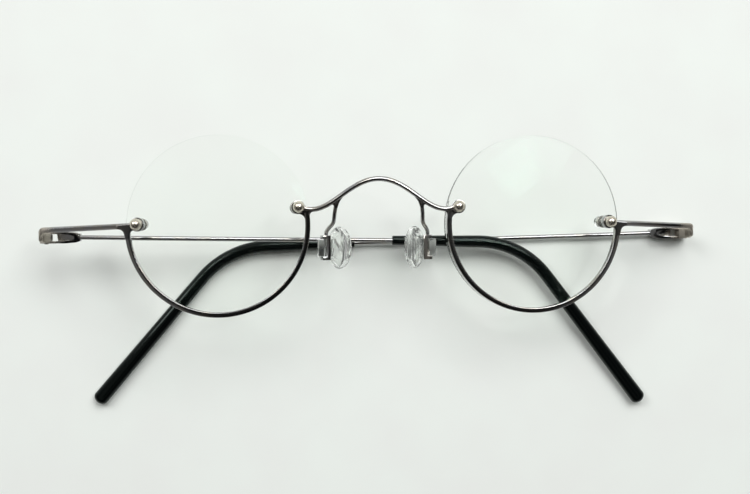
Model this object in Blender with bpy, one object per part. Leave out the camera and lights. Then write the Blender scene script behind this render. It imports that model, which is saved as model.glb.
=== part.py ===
"""Semi-rimless reading glasses, folded and lying face up on their own left temple.

The front has a frame of its own: X to the wearer's left, Y up and Z forward, with the origin midway
between the lenses on the line through the tops of their front curves. Both sides come from the same
functions, with a side of +1 for the wearer's left and -1 for the wearer's right. Each temple turns on
an empty at its hinge, and each nose pad on an empty at its box, so that the root empty carries all.
"""

import math

import bmesh
import bpy
from mathutils import Matrix, Vector

MM = 0.001
SIDES = {"left": 1, "right": -1}

# Fits
SEAT_GAP = 0.04 * MM          # between two pieces that rest on or are brazed to each other
RUNNING_GAP = 0.05 * MM       # around every screw, and between fork and barrel
WELD = 0.003 * MM             # points of a cut closer than this become one

# Lenses
LENS_DIAMETER = 35.6 * MM
LENS_SPACING = 62.5 * MM      # from lens centre to lens centre
LENS_THICKNESS = 2.0 * MM     # at the centre
LENS_FRONT_CURVE = 110.0 * MM
LENS_BACK_CURVE = 150.0 * MM
LENS_EDGE_BEVEL = 0.15 * MM
LENS_WRAP = math.radians(1.5)
LENS_SEGMENTS = 56
LENS_RINGS = 4

# Studs that clamp the wires to the lenses, from the front to the back of the stack
OUTER_HOLE_INSET = 2.55 * MM  # from the lens edge to the hole's centre
OUTER_HOLE_ANGLE = math.radians(1.3)
NOSE_HOLE_INSET = 2.15 * MM
NOSE_HOLE_ANGLE = math.radians(12.9)
SCREW_DIAMETER = 1.2 * MM
BALL_DIAMETER = 2.3 * MM
BALL_CENTRE_RISE = 0.75 * MM  # above the loop it bears on
WASHER_DIAMETER = 2.5 * MM
FRONT_WASHER_THICKNESS = 0.25 * MM
BACK_WASHER_THICKNESS = 0.35 * MM
LENS_HOLE_GAP = 0.15 * MM     # around the screw in the lens
NUT_ACROSS_FLATS = 2.1 * MM
NUT_THICKNESS = 0.9 * MM
CAP_DIAMETER = 2.1 * MM
CAP_LENGTH = 1.35 * MM
CAP_GRIP = 0.7 * MM           # length of screw inside the cap
LOOP_DIAMETER = 2.7 * MM
LOOP_THICKNESS = 1.0 * MM
STUD_SEGMENTS = 16

# Half rims
RIM_WIDTH = 1.0 * MM
RIM_DEPTH = 1.4 * MM
RIM_CORNER = 0.25 * MM
RIM_SEGMENTS = 40

# Bridge
BRIDGE_DIAMETER = 1.0 * MM
BRIDGE_RISE = 5.5 * MM        # from the nose loops up to the top of the arch
BRIDGE_SHOULDER = 0.3 * MM    # how far the arch bulges halfway down its sides
BRIDGE_DIP = 0.45 * MM        # from the nose loops down to the low points
BRIDGE_DIP_OFFSET = 2.6 * MM  # from a nose loop inward to its low point
BRIDGE_BOW = 0.6 * MM         # forward, at the top of the arch
BRIDGE_STATIONS = 28

# End pieces
BAR_HEIGHT = 1.1 * MM
BAR_DEPTH = 1.2 * MM
BAR_CORNER = 0.3 * MM
BAR_SET = 0.2 * MM            # of the bar's start, below the outer loop's middle
BAR_FALL = 1.0 * MM           # from the outer loop's middle to where the bar turns back
HINGE_REACH = 18.8 * MM       # from the outer loop out to the hinge axis
HINGE_DEPTH = 9.4 * MM        # behind the front's origin
HINGE_DROP = 2.5 * MM         # below the outer loop
TURN_RADIUS = 1.1 * MM        # outside the turn from bar to leaf
LEAF_OVERHANG = 0.4 * MM      # of the leaf's outer face past the hinge axis
LEAF_HEIGHT = 1.9 * MM
LEAF_THICKNESS = 0.6 * MM
LEAF_CORNER = 0.15 * MM
LEAF_SHOULDER = 1.0 * MM      # from the end of the turn to where the leaf is at its own height
FOOT_THICKNESS = 1.55 * MM    # of the leaf where it bears on the barrel
FOOT_DEPTH = 0.5 * MM
TURN_SHAPE = (                # share of the turn, then of the way of its top and of its bottom to the leaf's
    (0.30, 0.10, 0.18),
    (0.60, 0.38, 0.52),
    (0.85, 0.70, 0.73),
    (1.00, 0.88, 0.84),
)

# Hinges
BARREL_DIAMETER = 2.5 * MM
BARREL_HEIGHT = 1.3 * MM
HINGE_SCREW_DIAMETER = 1.0 * MM
HINGE_HEAD_DIAMETER = 1.7 * MM
HINGE_HEAD_THICKNESS = 0.3 * MM
HINGE_SCREW_END = 0.2 * MM    # below the lower flange
SLOT_WIDTH = 0.22 * MM
SLOT_DEPTH = 0.15 * MM
FORK_FLANGE = 0.45 * MM
FORK_LENGTH = 6.7 * MM        # from the hinge axis
FORK_HALF_DEPTH = 1.25 * MM
FORK_WEB = 0.4 * MM
FORK_WINDOW = 1.9 * MM        # at the top, the web starts this far from the hinge axis
FORK_WINDOW_SLANT = 0.2 * MM  # and at the bottom this much further
FORK_BLOCK = 1.2 * MM         # solid end that takes the wire
FORK_TAPER = 2.6 * MM
FORK_TIP_HEIGHT = 1.4 * MM
CHANNEL_TIP_HEIGHT = 0.5 * MM

# Temples
WIRE_DIAMETER = 0.9 * MM
SOCKET_DEPTH = 1.0 * MM
BEND_DISTANCE = 87.4 * MM     # from the hinge axis to the ear bend
BEND_RADIUS = 18.2 * MM
TIP_REACH = 33.9 * MM         # from the ear bend to the end
TIP_START = 69.2 * MM         # from the hinge axis to the sleeve's mouth
TIP_MOUTH_DIAMETER = 1.9 * MM
TIP_DIAMETER = 2.5 * MM
TIP_END_WIDTH = 3.1 * MM
WIRE_END_COVER = 4.0 * MM     # of sleeve past the end of the wire
TIP_SIDES = 10
TEMPLE_DROOP = {"left": math.radians(1.5), "right": math.radians(1.0)}
TEMPLE_TURN = {"left": math.radians(48.1), "right": math.radians(51.7)}
FOLD_SLOPE = {"left": math.radians(3.7), "right": math.radians(0.2)}

# Nose pads
ARM_DIAMETER = 0.8 * MM
ARM_OFFSET = 8.4 * MM         # from the centre to where an arm leaves the bridge
ARM_ROUTE = (                 # shares of the way from the bridge to the box, in X, Y and Z
    (0.03, 0.14, 0.03),
    (0.16, 0.38, 0.14),
    (0.28, 0.64, 0.42),
    (0.74, 0.80, 0.78),
    (0.97, 0.90, 0.97),
)
BOX_OFFSET = 9.5 * MM         # from the centre to the box's pad side
BOX_FALL = 4.5 * MM           # below the front's origin
BOX_DEPTH_BEHIND = 3.5 * MM
BOX_HEIGHT = 4.9 * MM
BOX_LENGTH = 1.65 * MM
BOX_SIDE_LENGTH = 0.86 * MM
BOX_DEPTH = 1.7 * MM
BOX_WALL = 0.3 * MM
BOX_CAP_WALL = 0.7 * MM
BOX_TURN = math.radians(15.0)
LUG_SIDE_GAP = 0.13 * MM      # lets the pad rock in its box
LUG_STAND_OUT = 0.75 * MM     # of the lug past the box
PAD_HEIGHT = 8.4 * MM
PAD_WIDTH = 6.6 * MM
PAD_THICKNESS = 2.6 * MM
PAD_FACE_CUT = 0.25 * MM      # how far the contact face is flattened
PAD_SPLAY = math.radians(37.0)
PAD_INSET = 1.95 * MM         # from the box's pad side to the cushion's middle, inward
CORE_HEIGHT = 7.4 * MM
CORE_WIDTH = 4.2 * MM
CORE_THICKNESS = 0.7 * MM
CORE_SHOULDER = 0.62          # share of the core's half height where its sides start to close
PAD_RINGS = 10
PAD_SEGMENTS = 20

LENS_RADIUS = LENS_DIAMETER / 2
SCREW_RADIUS = SCREW_DIAMETER / 2
SCREW_BORE = SCREW_RADIUS + RUNNING_GAP
LOOP_RADIUS = LOOP_DIAMETER / 2
LOOP_BASE = SEAT_GAP + FRONT_WASHER_THICKNESS + SEAT_GAP
LOOP_TOP = LOOP_BASE + LOOP_THICKNESS
BRIDGE_RADIUS = BRIDGE_DIAMETER / 2
HINGE_BORE = HINGE_SCREW_DIAMETER / 2 + RUNNING_GAP
TURN_INSET = TURN_RADIUS - LEAF_OVERHANG
HINGE_CLEARANCE = max(BARREL_DIAMETER / 2 + SEAT_GAP, FORK_HALF_DEPTH + RUNNING_GAP)
FORK_INNER_HALF = BARREL_HEIGHT / 2 + RUNNING_GAP
FORK_HALF_HEIGHT = FORK_INNER_HALF + FORK_FLANGE
WIRE_RADIUS = WIRE_DIAMETER / 2
WIRE_BORE = WIRE_RADIUS + RUNNING_GAP

X_AXIS = Vector((1, 0, 0))
Y_AXIS = Vector((0, 1, 0))
Z_AXIS = Vector((0, 0, 1))


def clear_scene():
    """Removes whatever the scene holds."""
    for item in list(bpy.data.objects):
        bpy.data.objects.remove(item, do_unlink=True)


def finish(name, colour, roughness, metallic, alpha=1.0):
    """A plain Principled material."""
    material = bpy.data.materials.new(name)
    material.use_nodes = True
    shader = material.node_tree.nodes["Principled BSDF"]
    shader.inputs["Base Color"].default_value = (*colour, 1.0)
    shader.inputs["Roughness"].default_value = roughness
    shader.inputs["Metallic"].default_value = metallic
    shader.inputs["Alpha"].default_value = alpha
    material.diffuse_color = (*colour, alpha)
    return material


def circle(radius, sides):
    """An outline of equal sides round the origin."""
    turns = (2 * math.pi * step / sides for step in range(sides))
    return [(radius * math.cos(turn), radius * math.sin(turn)) for turn in turns]


def ellipse(half_width, half_height, sides):
    """A circle of unequal half axes."""
    return [(a * half_width, b * half_height) for a, b in circle(1.0, sides)]


def rounded_rectangle(width, height, corner):
    """A rectangle whose corners are cut by one flat each."""
    x, y = width / 2, height / 2
    return [
        (x, -y + corner), (x, y - corner), (x - corner, y), (-x + corner, y),
        (-x, y - corner), (-x, -y + corner), (-x + corner, -y), (x - corner, -y),
    ]


def ring_at(centre, direction, up, outline):
    """The outline set square to a direction, its second coordinate towards up."""
    across = direction.cross(up).normalized()
    rise = across.cross(direction).normalized()
    return [centre + across * a + rise * b for a, b in outline]


def loft(rings):
    """A closed body through a row of rings. A ring of one point is a pole, and open ends are capped."""
    shape = bmesh.new()
    rows = [[shape.verts.new(point) for point in ring] for ring in rings]
    for row, following in zip(rows, rows[1:]):
        count = max(len(row), len(following))
        for step in range(count):
            after = (step + 1) % count
            corners = [row[step % len(row)], row[after % len(row)]]
            corners += [following[after % len(following)], following[step % len(following)]]
            shape.faces.new(list(dict.fromkeys(corners)))
    for row in (rows[0], rows[-1]):
        if len(row) > 1:
            shape.faces.new(row)
    bmesh.ops.recalc_face_normals(shape, faces=shape.faces)
    return shape


def turned(profile, segments):
    """A body turned round Z from points of radius and height, outer side first, closed on the axis."""
    rings = []
    for radius, height in profile:
        if radius == 0:
            rings.append([Vector((0, 0, height))])
        else:
            rings.append([Vector((a, b, height)) for a, b in circle(radius, segments)])
    return loft(rings)


def turned_ring(loop, segments, start=0.0, sweep=2 * math.pi):
    """A closed loop of radius and height turned round Z, whole or through part of a turn."""
    whole = abs(sweep) >= 2 * math.pi
    turns = [start + sweep * step / segments for step in range(segments + (0 if whole else 1))]
    rows = [[Vector((r * math.cos(t), r * math.sin(t), z)) for r, z in loop] for t in turns]
    if not whole:
        return loft(rows)
    shape = bmesh.new()
    grid = [[shape.verts.new(point) for point in row] for row in rows]
    for step, row in enumerate(grid):
        following = grid[(step + 1) % len(grid)]
        for corner in range(len(row)):
            after = (corner + 1) % len(row)
            shape.faces.new((row[corner], row[after], following[after], following[corner]))
    bmesh.ops.recalc_face_normals(shape, faces=shape.faces)
    return shape


def washer_shape(outer, inner, base, thickness, segments):
    """A flat ring from a base height upward."""
    top = base + thickness
    return turned_ring([(inner, base), (outer, base), (outer, top), (inner, top)], segments)


def block(lowest, highest):
    """A box between two corners."""
    shape = bmesh.new()
    size = Vector(highest) - Vector(lowest)
    middle = (Vector(highest) + Vector(lowest)) / 2
    bmesh.ops.create_cube(shape, size=1.0, matrix=Matrix.Translation(middle) @ Matrix.Diagonal((*size, 1)))
    return shape


def prism(outline, axis, low, high):
    """An outline of two coordinates drawn out along one axis."""
    def place(a, b, along):
        if axis == "Y":
            return Vector((a, along, b))
        if axis == "X":
            return Vector((along, a, b))
        return Vector((a, b, along))
    return loft([[place(a, b, along) for a, b in outline] for along in (low, high)])


def smooth_path(points, per_span):
    """Points on one smooth curve through the given ones."""
    ends = [points[0] * 2 - points[1], *points, points[-1] * 2 - points[-2]]
    path = []
    for before, start, stop, after in zip(ends, ends[1:], ends[2:], ends[3:]):
        for step in range(per_span):
            t = step / per_span
            path.append(0.5 * (2 * start + (stop - before) * t
                               + (2 * before - 5 * start + 4 * stop - after) * t ** 2
                               + (3 * start - before - 3 * stop + after) * t ** 3))
    return path + [points[-1]]


def swept(path, outline, up, first=None):
    """An outline carried along a path, with another one for its first ring if given."""
    rings = []
    for step, point in enumerate(path):
        before = path[max(step - 1, 0)]
        after = path[min(step + 1, len(path) - 1)]
        section = first if first and not step else outline
        rings.append(ring_at(point, (after - before).normalized(), up, section))
    return loft(rings)


def moved(shape, matrix):
    """The same shape at another place."""
    shape.transform(matrix)
    return shape


def mirrored(shape, side):
    """The shape as built for the left side, or its mirror image for the right."""
    if side < 0:
        shape.transform(Matrix.Scale(-1, 4, X_AXIS))
        bmesh.ops.reverse_faces(shape, faces=shape.faces)
    return shape


def as_object(name, shape):
    """A scene object from a shape that is then let go."""
    mesh = bpy.data.meshes.new(name)
    shape.to_mesh(mesh)
    shape.free()
    item = bpy.data.objects.new(name, mesh)
    bpy.context.scene.collection.objects.link(item)
    return item


def combined(base, tool, operation):
    """Two shapes joined, cut or shared by a Boolean."""
    first = as_object("base", base)
    second = as_object("tool", tool)
    modifier = first.modifiers.new("combine", "BOOLEAN")
    modifier.object = second
    modifier.operation = operation
    bpy.context.view_layer.update()
    evaluated = first.evaluated_get(bpy.context.evaluated_depsgraph_get())
    shape = bmesh.new()
    shape.from_mesh(evaluated.to_mesh())
    evaluated.to_mesh_clear()
    for item in (first, second):
        bpy.data.objects.remove(item, do_unlink=True)
    bmesh.ops.remove_doubles(shape, verts=shape.verts, dist=WELD)
    return shape


def piece(name, shape, material, parent, place=None):
    """A finished sub-part: its mesh, its material and where it hangs."""
    item = as_object(name, shape)
    item.data.materials.append(material)
    item.data.shade_smooth()
    item.data.set_sharp_from_angle(angle=math.radians(35))
    item.parent = parent
    item.matrix_local = place if place else Matrix.Identity(4)
    return item


def pivot(name, parent, place):
    """An empty that other pieces hang on."""
    empty = bpy.data.objects.new(name, None)
    bpy.context.scene.collection.objects.link(empty)
    empty.parent = parent
    empty.matrix_local = place
    return empty


def lens_place(side):
    """Where a lens stands in the front's frame."""
    return Matrix.Translation((side * LENS_SPACING / 2, 0, 0)) @ Matrix.Rotation(side * LENS_WRAP, 4, "Y")


def front_height(radius):
    """Height of a lens's front face at a radius."""
    return math.sqrt(LENS_FRONT_CURVE ** 2 - radius ** 2) - LENS_FRONT_CURVE


def back_height(radius):
    """Height of a lens's back face at a radius."""
    return math.sqrt(LENS_BACK_CURVE ** 2 - radius ** 2) - LENS_BACK_CURVE - LENS_THICKNESS


def hole_in_lens(side, kind):
    """A stud hole's centre in its lens's plane."""
    if kind == "outer":
        reach, angle, outward = LENS_RADIUS - OUTER_HOLE_INSET, OUTER_HOLE_ANGLE, side
    else:
        reach, angle, outward = LENS_RADIUS - NOSE_HOLE_INSET, NOSE_HOLE_ANGLE, -side
    return outward * reach * math.cos(angle), reach * math.sin(angle)


def stud_in_lens(side, kind):
    """A stud's frame in its lens: origin on the front face, Z along the face's normal."""
    x, y = hole_in_lens(side, kind)
    foot = Vector((x, y, front_height(math.hypot(x, y))))
    normal = (foot + Vector((0, 0, LENS_FRONT_CURVE))).normalized()
    return Matrix.Translation(foot) @ Z_AXIS.rotation_difference(normal).to_matrix().to_4x4()


def stud_place(side, kind):
    """A stud's frame in the front's frame."""
    return lens_place(side) @ stud_in_lens(side, kind)


def loop_centre(side, kind):
    """The middle of the loop that a stud clamps."""
    return stud_place(side, kind) @ Vector((0, 0, (LOOP_BASE + LOOP_TOP) / 2))


def back_washer_top():
    """How deep under the front face the back washers start, clear of the curved back face."""
    deepest = 0.0
    for side, kind in ((1, "outer"), (1, "nose")):
        place = stud_in_lens(side, kind)
        for a, b in circle(WASHER_DIAMETER / 2, STUD_SEGMENTS):
            edge = place @ Vector((a, b, 0))
            depth = edge.z - back_height(math.hypot(edge.x, edge.y))
            deepest = max(deepest, depth / (place.to_3x3() @ Z_AXIS).z)
    return -deepest - SEAT_GAP


def bridge_height(x):
    """Height of the bridge wire's centre line over the arch, from low point to low point."""
    nose = loop_centre(1, "nose")
    low = nose.x - BRIDGE_DIP_OFFSET
    turn = math.pi * min(abs(x) / low, 1)
    swing = (BRIDGE_RISE + BRIDGE_DIP) / 2
    bulge = BRIDGE_SHOULDER / 2
    return nose.y - BRIDGE_DIP + swing * (1 + math.cos(turn)) + bulge * (1 - math.cos(2 * turn))


def bridge_point(x):
    """A point on the bridge's centre line between its low points."""
    nose = loop_centre(1, "nose")
    low = nose.x - BRIDGE_DIP_OFFSET
    share = min(abs(x) / low, 1)
    return Vector((x, bridge_height(x), nose.z + BRIDGE_BOW * (1 - share ** 2)))


def hinge_point(side):
    """The middle of a hinge's barrel."""
    outer = loop_centre(side, "outer")
    return Vector((outer.x + side * HINGE_REACH, outer.y - HINGE_DROP, -HINGE_DEPTH))


def build_lens(side):
    """A meniscus disc with two holes."""
    radii = [LENS_RADIUS * step / LENS_RINGS for step in range(LENS_RINGS)]
    rim = LENS_RADIUS - LENS_EDGE_BEVEL
    profile = [(radius, front_height(radius)) for radius in radii + [rim]]
    profile.append((LENS_RADIUS, front_height(LENS_RADIUS) - LENS_EDGE_BEVEL))
    profile.append((LENS_RADIUS, back_height(LENS_RADIUS) + LENS_EDGE_BEVEL))
    profile += [(radius, back_height(radius)) for radius in [rim] + radii[::-1]]
    lens = turned(profile, LENS_SEGMENTS)
    for kind in ("outer", "nose"):
        drill = turned([(0, 2 * LENS_THICKNESS)] + [
            (SCREW_RADIUS + LENS_HOLE_GAP, height) for height in (2 * LENS_THICKNESS, -3 * LENS_THICKNESS)
        ] + [(0, -3 * LENS_THICKNESS)], STUD_SEGMENTS)
        lens = combined(lens, moved(drill, stud_in_lens(side, kind)), "DIFFERENCE")
    return lens


def build_half_rim(side):
    """A ribbon on edge that follows the lower half of a lens, flush with its outline."""
    middle = LENS_RADIUS - RIM_WIDTH / 2
    base = front_height(LENS_RADIUS - RIM_WIDTH) + SEAT_GAP
    section = rounded_rectangle(RIM_WIDTH, RIM_DEPTH, RIM_CORNER)
    loop = [(middle + a, base + RIM_DEPTH / 2 + b) for a, b in section]
    bar_underside = bar_point(side, 0.12).y - BAR_HEIGHT / 2 - SEAT_GAP
    outer_angle = math.asin(bar_underside / middle)
    nose_x = LENS_SPACING / 2 - middle
    bridge_underside = bridge_height(nose_x) - BRIDGE_RADIUS - SEAT_GAP
    nose_angle = math.asin(bridge_underside / (middle + RIM_WIDTH / 2))
    sweep = outer_angle + math.pi + nose_angle
    return mirrored(turned_ring(loop, RIM_SEGMENTS, outer_angle, -sweep), side)


def with_loop(wire, side, kind):
    """A wire ended by the flat ring that a stud clamps, both in the front's frame."""
    segments = STUD_SEGMENTS + 4
    margin = BALL_DIAMETER
    disc = prism(circle(LOOP_RADIUS, segments), "Z", LOOP_BASE, LOOP_TOP)
    drill = prism(circle(SCREW_BORE, segments), "Z", LOOP_BASE - margin, LOOP_TOP + margin)
    place = stud_place(side, kind)
    joined = combined(wire, moved(disc, place), "UNION")
    return combined(joined, moved(drill, place), "DIFFERENCE")


def build_bridge():
    """The arched wire from nose loop to nose loop."""
    nose = loop_centre(1, "nose")
    low = nose.x - BRIDGE_DIP_OFFSET
    entry = nose + Vector((-(LOOP_RADIUS - SCREW_BORE) / 2 - SCREW_BORE, -BRIDGE_DIP / 3, 0))
    arch = [bridge_point(low * (2 * step / BRIDGE_STATIONS - 1)) for step in range(BRIDGE_STATIONS + 1)]
    left_lead = smooth_path([arch[-1], (arch[-1] + entry) / 2 - Y_AXIS * BRIDGE_DIP / 6, entry], 2)[1:]
    right_lead = [Vector((-point.x, point.y, point.z)) for point in reversed(left_lead)]
    bridge = swept(right_lead + arch + left_lead, circle(BRIDGE_RADIUS, 8), Z_AXIS)
    for side in SIDES.values():
        bridge = with_loop(bridge, side, "nose")
    return bridge


def bar_point(side, share):
    """A point on the straight bar, from the outer loop to where the bar turns back."""
    loop = loop_centre(side, "outer")
    out = stud_place(side, "outer").to_3x3() @ X_AXIS * side
    run = (HINGE_REACH - TURN_INSET) / abs(out.x)
    point = loop + out * run * share
    point.y = loop.y - BAR_SET - (BAR_FALL - BAR_SET) * share
    return point


def leaf_ring(centre, turn, thickness, top, bottom, corner):
    """A ring of the turned bar or leaf at an angle round the turn, its outer face on the turn's radius."""
    outward = Vector((math.sin(turn), 0, math.cos(turn)))
    along = Vector((math.cos(turn), 0, -math.sin(turn)))
    middle = centre + outward * (TURN_RADIUS - thickness / 2)
    middle.y = (top + bottom) / 2
    return ring_at(middle, along, Y_AXIS, rounded_rectangle(thickness, top - bottom, corner))


def leaf_rings():
    """Rings of the left end piece from where the bar starts to turn back through to the hinge axis."""
    hinge = hinge_point(1)
    start = bar_point(1, 1.0)
    way = start - bar_point(1, 0.5)
    lean = math.atan2(-way.z, way.x)
    centre = Vector((start.x, 0, start.z - (TURN_RADIUS - BAR_DEPTH / 2) * math.cos(lean)))
    bar = (start.y + BAR_HEIGHT / 2, start.y - BAR_HEIGHT / 2)
    leaf = (hinge.y + LEAF_HEIGHT / 2, hinge.y - LEAF_HEIGHT / 2)
    rings = []
    for share, top, bottom in TURN_SHAPE:
        turn = lean + (math.pi / 2 - lean) * share
        thickness = BAR_DEPTH + (LEAF_THICKNESS - BAR_DEPTH) * share
        edges = (bar[0] + (leaf[0] - bar[0]) * top, bar[1] + (leaf[1] - bar[1]) * bottom)
        rings.append(leaf_ring(centre, turn, thickness, *edges, LEAF_CORNER))
    foot = hinge.z + HINGE_CLEARANCE + FOOT_DEPTH
    slope = FOOT_THICKNESS - LEAF_THICKNESS
    for depth, thickness in ((centre.z - LEAF_SHOULDER, LEAF_THICKNESS), (foot + slope, LEAF_THICKNESS),
                             (foot, FOOT_THICKNESS), (hinge.z, FOOT_THICKNESS)):
        place = Vector((centre.x, 0, depth))
        rings.append(leaf_ring(place, math.pi / 2, thickness, *leaf, LEAF_CORNER))
    return rings


def build_end_piece(side):
    """A loop, the straight bar that leaves it, and the leaf that turns back to the hinge barrel."""
    run = HINGE_REACH - TURN_INSET
    stop = bar_point(1, 1.0)
    bar = [bar_point(1, LOOP_RADIUS * 0.8 / run), bar_point(1, LOOP_RADIUS * 1.2 / run)]
    bar += [bar[0].lerp(stop, 0.33), bar[0].lerp(stop, 0.66), stop]
    along = (stop - bar[0]).normalized()
    flattened = rounded_rectangle(LOOP_THICKNESS * 0.9, BAR_HEIGHT, BAR_CORNER)
    section = rounded_rectangle(BAR_DEPTH, BAR_HEIGHT, BAR_CORNER)
    rings = [ring_at(point, along, Y_AXIS, section if step else flattened) for step, point in enumerate(bar)]
    shape = with_loop(loft(rings + leaf_rings()), 1, "outer")
    radius = HINGE_CLEARANCE
    room = [(radius * math.sin(turn), radius * math.cos(turn))
            for turn in (math.pi * step / 12 for step in range(13))]
    room += [(-2 * radius, -radius), (-2 * radius, radius)]
    room = moved(prism(room, "Y", -LEAF_HEIGHT, LEAF_HEIGHT), Matrix.Translation(hinge_point(1)))
    return mirrored(combined(shape, room, "DIFFERENCE"), side)


def build_barrel():
    """The front's share of a hinge, turned round its screw, with Y as its axis."""
    half = BARREL_HEIGHT / 2
    outer = BARREL_DIAMETER / 2
    bevel = BARREL_HEIGHT / 10
    loop = [(HINGE_BORE, -half), (outer - bevel, -half), (outer, bevel - half),
            (outer, half - bevel), (outer - bevel, half), (HINGE_BORE, half)]
    return moved(turned_ring(loop, 24), Matrix.Rotation(-math.pi / 2, 4, "X"))


def build_ball_screw(back):
    """A screw with a ball for a head, from the ball down into the cap."""
    radius = BALL_DIAMETER / 2
    seat = LOOP_TOP + SEAT_GAP
    centre = seat + BALL_CENTRE_RISE
    widest = math.acos(-BALL_CENTRE_RISE / radius)
    steps = 9
    profile = [(0, centre + radius)]
    for step in range(1, steps + 1):
        turn = widest * step / steps
        profile.append((radius * math.sin(turn), centre + radius * math.cos(turn)))
    chamfer = SCREW_RADIUS / 4
    profile += [(SCREW_RADIUS, seat), (SCREW_RADIUS, back + chamfer), (SCREW_RADIUS - chamfer, back), (0, back)]
    return turned(profile, STUD_SEGMENTS)


def build_nut(top):
    """A plain hexagon nut under a height."""
    corner = NUT_ACROSS_FLATS / 2 / math.cos(math.pi / 6)
    hexagon = prism(circle(corner, 6), "Z", top - NUT_THICKNESS, top)
    bore = prism(circle(SCREW_BORE, STUD_SEGMENTS), "Z", top - 2 * NUT_THICKNESS, top + NUT_THICKNESS)
    return combined(hexagon, bore, "DIFFERENCE")


def build_cap(top):
    """A domed cap over a screw's end, open at the nut."""
    outer = CAP_DIAMETER / 2
    base = top - CAP_LENGTH
    dome = outer / 2
    bore_end = top - CAP_GRIP - SEAT_GAP
    profile = [(0, bore_end), (SCREW_BORE, bore_end), (SCREW_BORE, top), (outer, top), (outer, base + dome)]
    profile += [(outer - dome * (1 - math.cos(turn)), base + dome - dome * math.sin(turn))
                for turn in (math.pi / 6, math.pi / 3, math.pi / 2)]
    return turned(profile + [(0, base)], STUD_SEGMENTS)


def build_stud(front, side_name, kind, finishes):
    """One clamped stud: screw, two washers, nut and cap."""
    place = stud_place(SIDES[side_name], kind)
    prefix = side_name + "_" + kind + "_"
    washer_top = back_washer_top()
    nut_top = washer_top - BACK_WASHER_THICKNESS - SEAT_GAP
    cap_top = nut_top - NUT_THICKNESS - SEAT_GAP
    radius = WASHER_DIAMETER / 2
    piece(prefix + "ball_screw", build_ball_screw(cap_top - CAP_GRIP), finishes["ball"], front, place)
    front_washer = washer_shape(radius, SCREW_BORE, SEAT_GAP, FRONT_WASHER_THICKNESS, STUD_SEGMENTS)
    piece(prefix + "front_washer", front_washer, finishes["clear"], front, place)
    back_base = washer_top - BACK_WASHER_THICKNESS
    back_washer = washer_shape(radius, SCREW_BORE, back_base, BACK_WASHER_THICKNESS, STUD_SEGMENTS)
    piece(prefix + "back_washer", back_washer, finishes["clear"], front, place)
    piece(prefix + "nut", build_nut(nut_top), finishes["nut"], front, place)
    piece(prefix + "cap", build_cap(cap_top), finishes["clear"], front, place)


def box_place():
    """The left pad box's frame in the front's frame: X outward through the box, Y up."""
    corner = Vector((BOX_OFFSET, -BOX_FALL, -BOX_DEPTH_BEHIND))
    return Matrix.Translation(corner) @ Matrix.Rotation(-BOX_TURN, 4, "Y")


def rock_point():
    """The left pad's rocking axis crosses the box here, in the front's frame."""
    return box_place() @ Vector((BOX_SIDE_LENGTH / 2, 0, 0))


def build_pad_arm(side):
    """The thin wire from the bridge down and back to a pad box, coped to both."""
    start = bridge_point(ARM_OFFSET)
    foot = box_place() @ Vector((BOX_SIDE_LENGTH * 0.8, BOX_HEIGHT / 2, 0))
    way = foot - start
    route = [start + Vector((way.x * x, way.y * y, way.z * z)) for x, y, z in ARM_ROUTE]
    path = smooth_path([start, *route, foot - Y_AXIS * ARM_DIAMETER / 2], 3)
    arm = swept(path, circle(ARM_DIAMETER / 2, 8), Z_AXIS)
    beside = [bridge_point(ARM_OFFSET + ARM_DIAMETER * step / 2) for step in range(-3, 4)]
    arm = combined(arm, swept(beside, circle(BRIDGE_RADIUS + SEAT_GAP, 16), Z_AXIS), "DIFFERENCE")
    top = BOX_HEIGHT / 2 + SEAT_GAP
    floor = block((-BOX_LENGTH, top - ARM_DIAMETER * 2, -BOX_DEPTH), (2 * BOX_LENGTH, top, BOX_DEPTH))
    return mirrored(combined(arm, moved(floor, box_place()), "DIFFERENCE"), side)


def build_pad_box(side):
    """A small frame that the pad's lug passes through, its end walls longer than its side walls."""
    half_height = BOX_HEIGHT / 2
    half_depth = BOX_DEPTH / 2
    margin = BOX_LENGTH
    box = block((0, -half_height, -half_depth), (BOX_LENGTH, half_height, half_depth))
    opening_height = half_height - BOX_CAP_WALL
    opening_depth = half_depth - BOX_WALL
    opening = block((-margin, -opening_height, -opening_depth), (BOX_LENGTH + margin, opening_height, opening_depth))
    box = combined(box, opening, "DIFFERENCE")
    notch = block((BOX_SIDE_LENGTH, -opening_height, -margin), (BOX_LENGTH + margin, opening_height, margin))
    box = combined(box, notch, "DIFFERENCE")
    return mirrored(moved(box, box_place()), side)


def pad_in_pivot():
    """The left cushion's frame about its rocking axis: X along the width, Y up, Z to the nose."""
    centre = Vector((BOX_OFFSET - PAD_INSET, -BOX_FALL, -BOX_DEPTH_BEHIND)) - rock_point()
    to_nose = Vector((-math.cos(PAD_SPLAY), 0, -math.sin(PAD_SPLAY)))
    across = Y_AXIS.cross(to_nose)
    turn = Matrix((across, Y_AXIS, to_nose)).transposed().to_4x4()
    return Matrix.Translation(centre) @ turn


def core_outline(grow):
    """The core plate's six-sided outline, grown by a margin."""
    half_width = CORE_WIDTH / 2 + grow
    half_height = CORE_HEIGHT / 2 + grow
    shoulder = half_height * CORE_SHOULDER
    tip = half_width / 4
    return [(half_width, -shoulder), (half_width, shoulder), (tip, half_height), (-tip, half_height),
            (-half_width, shoulder), (-half_width, -shoulder), (-tip, -half_height), (tip, -half_height)]


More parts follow.
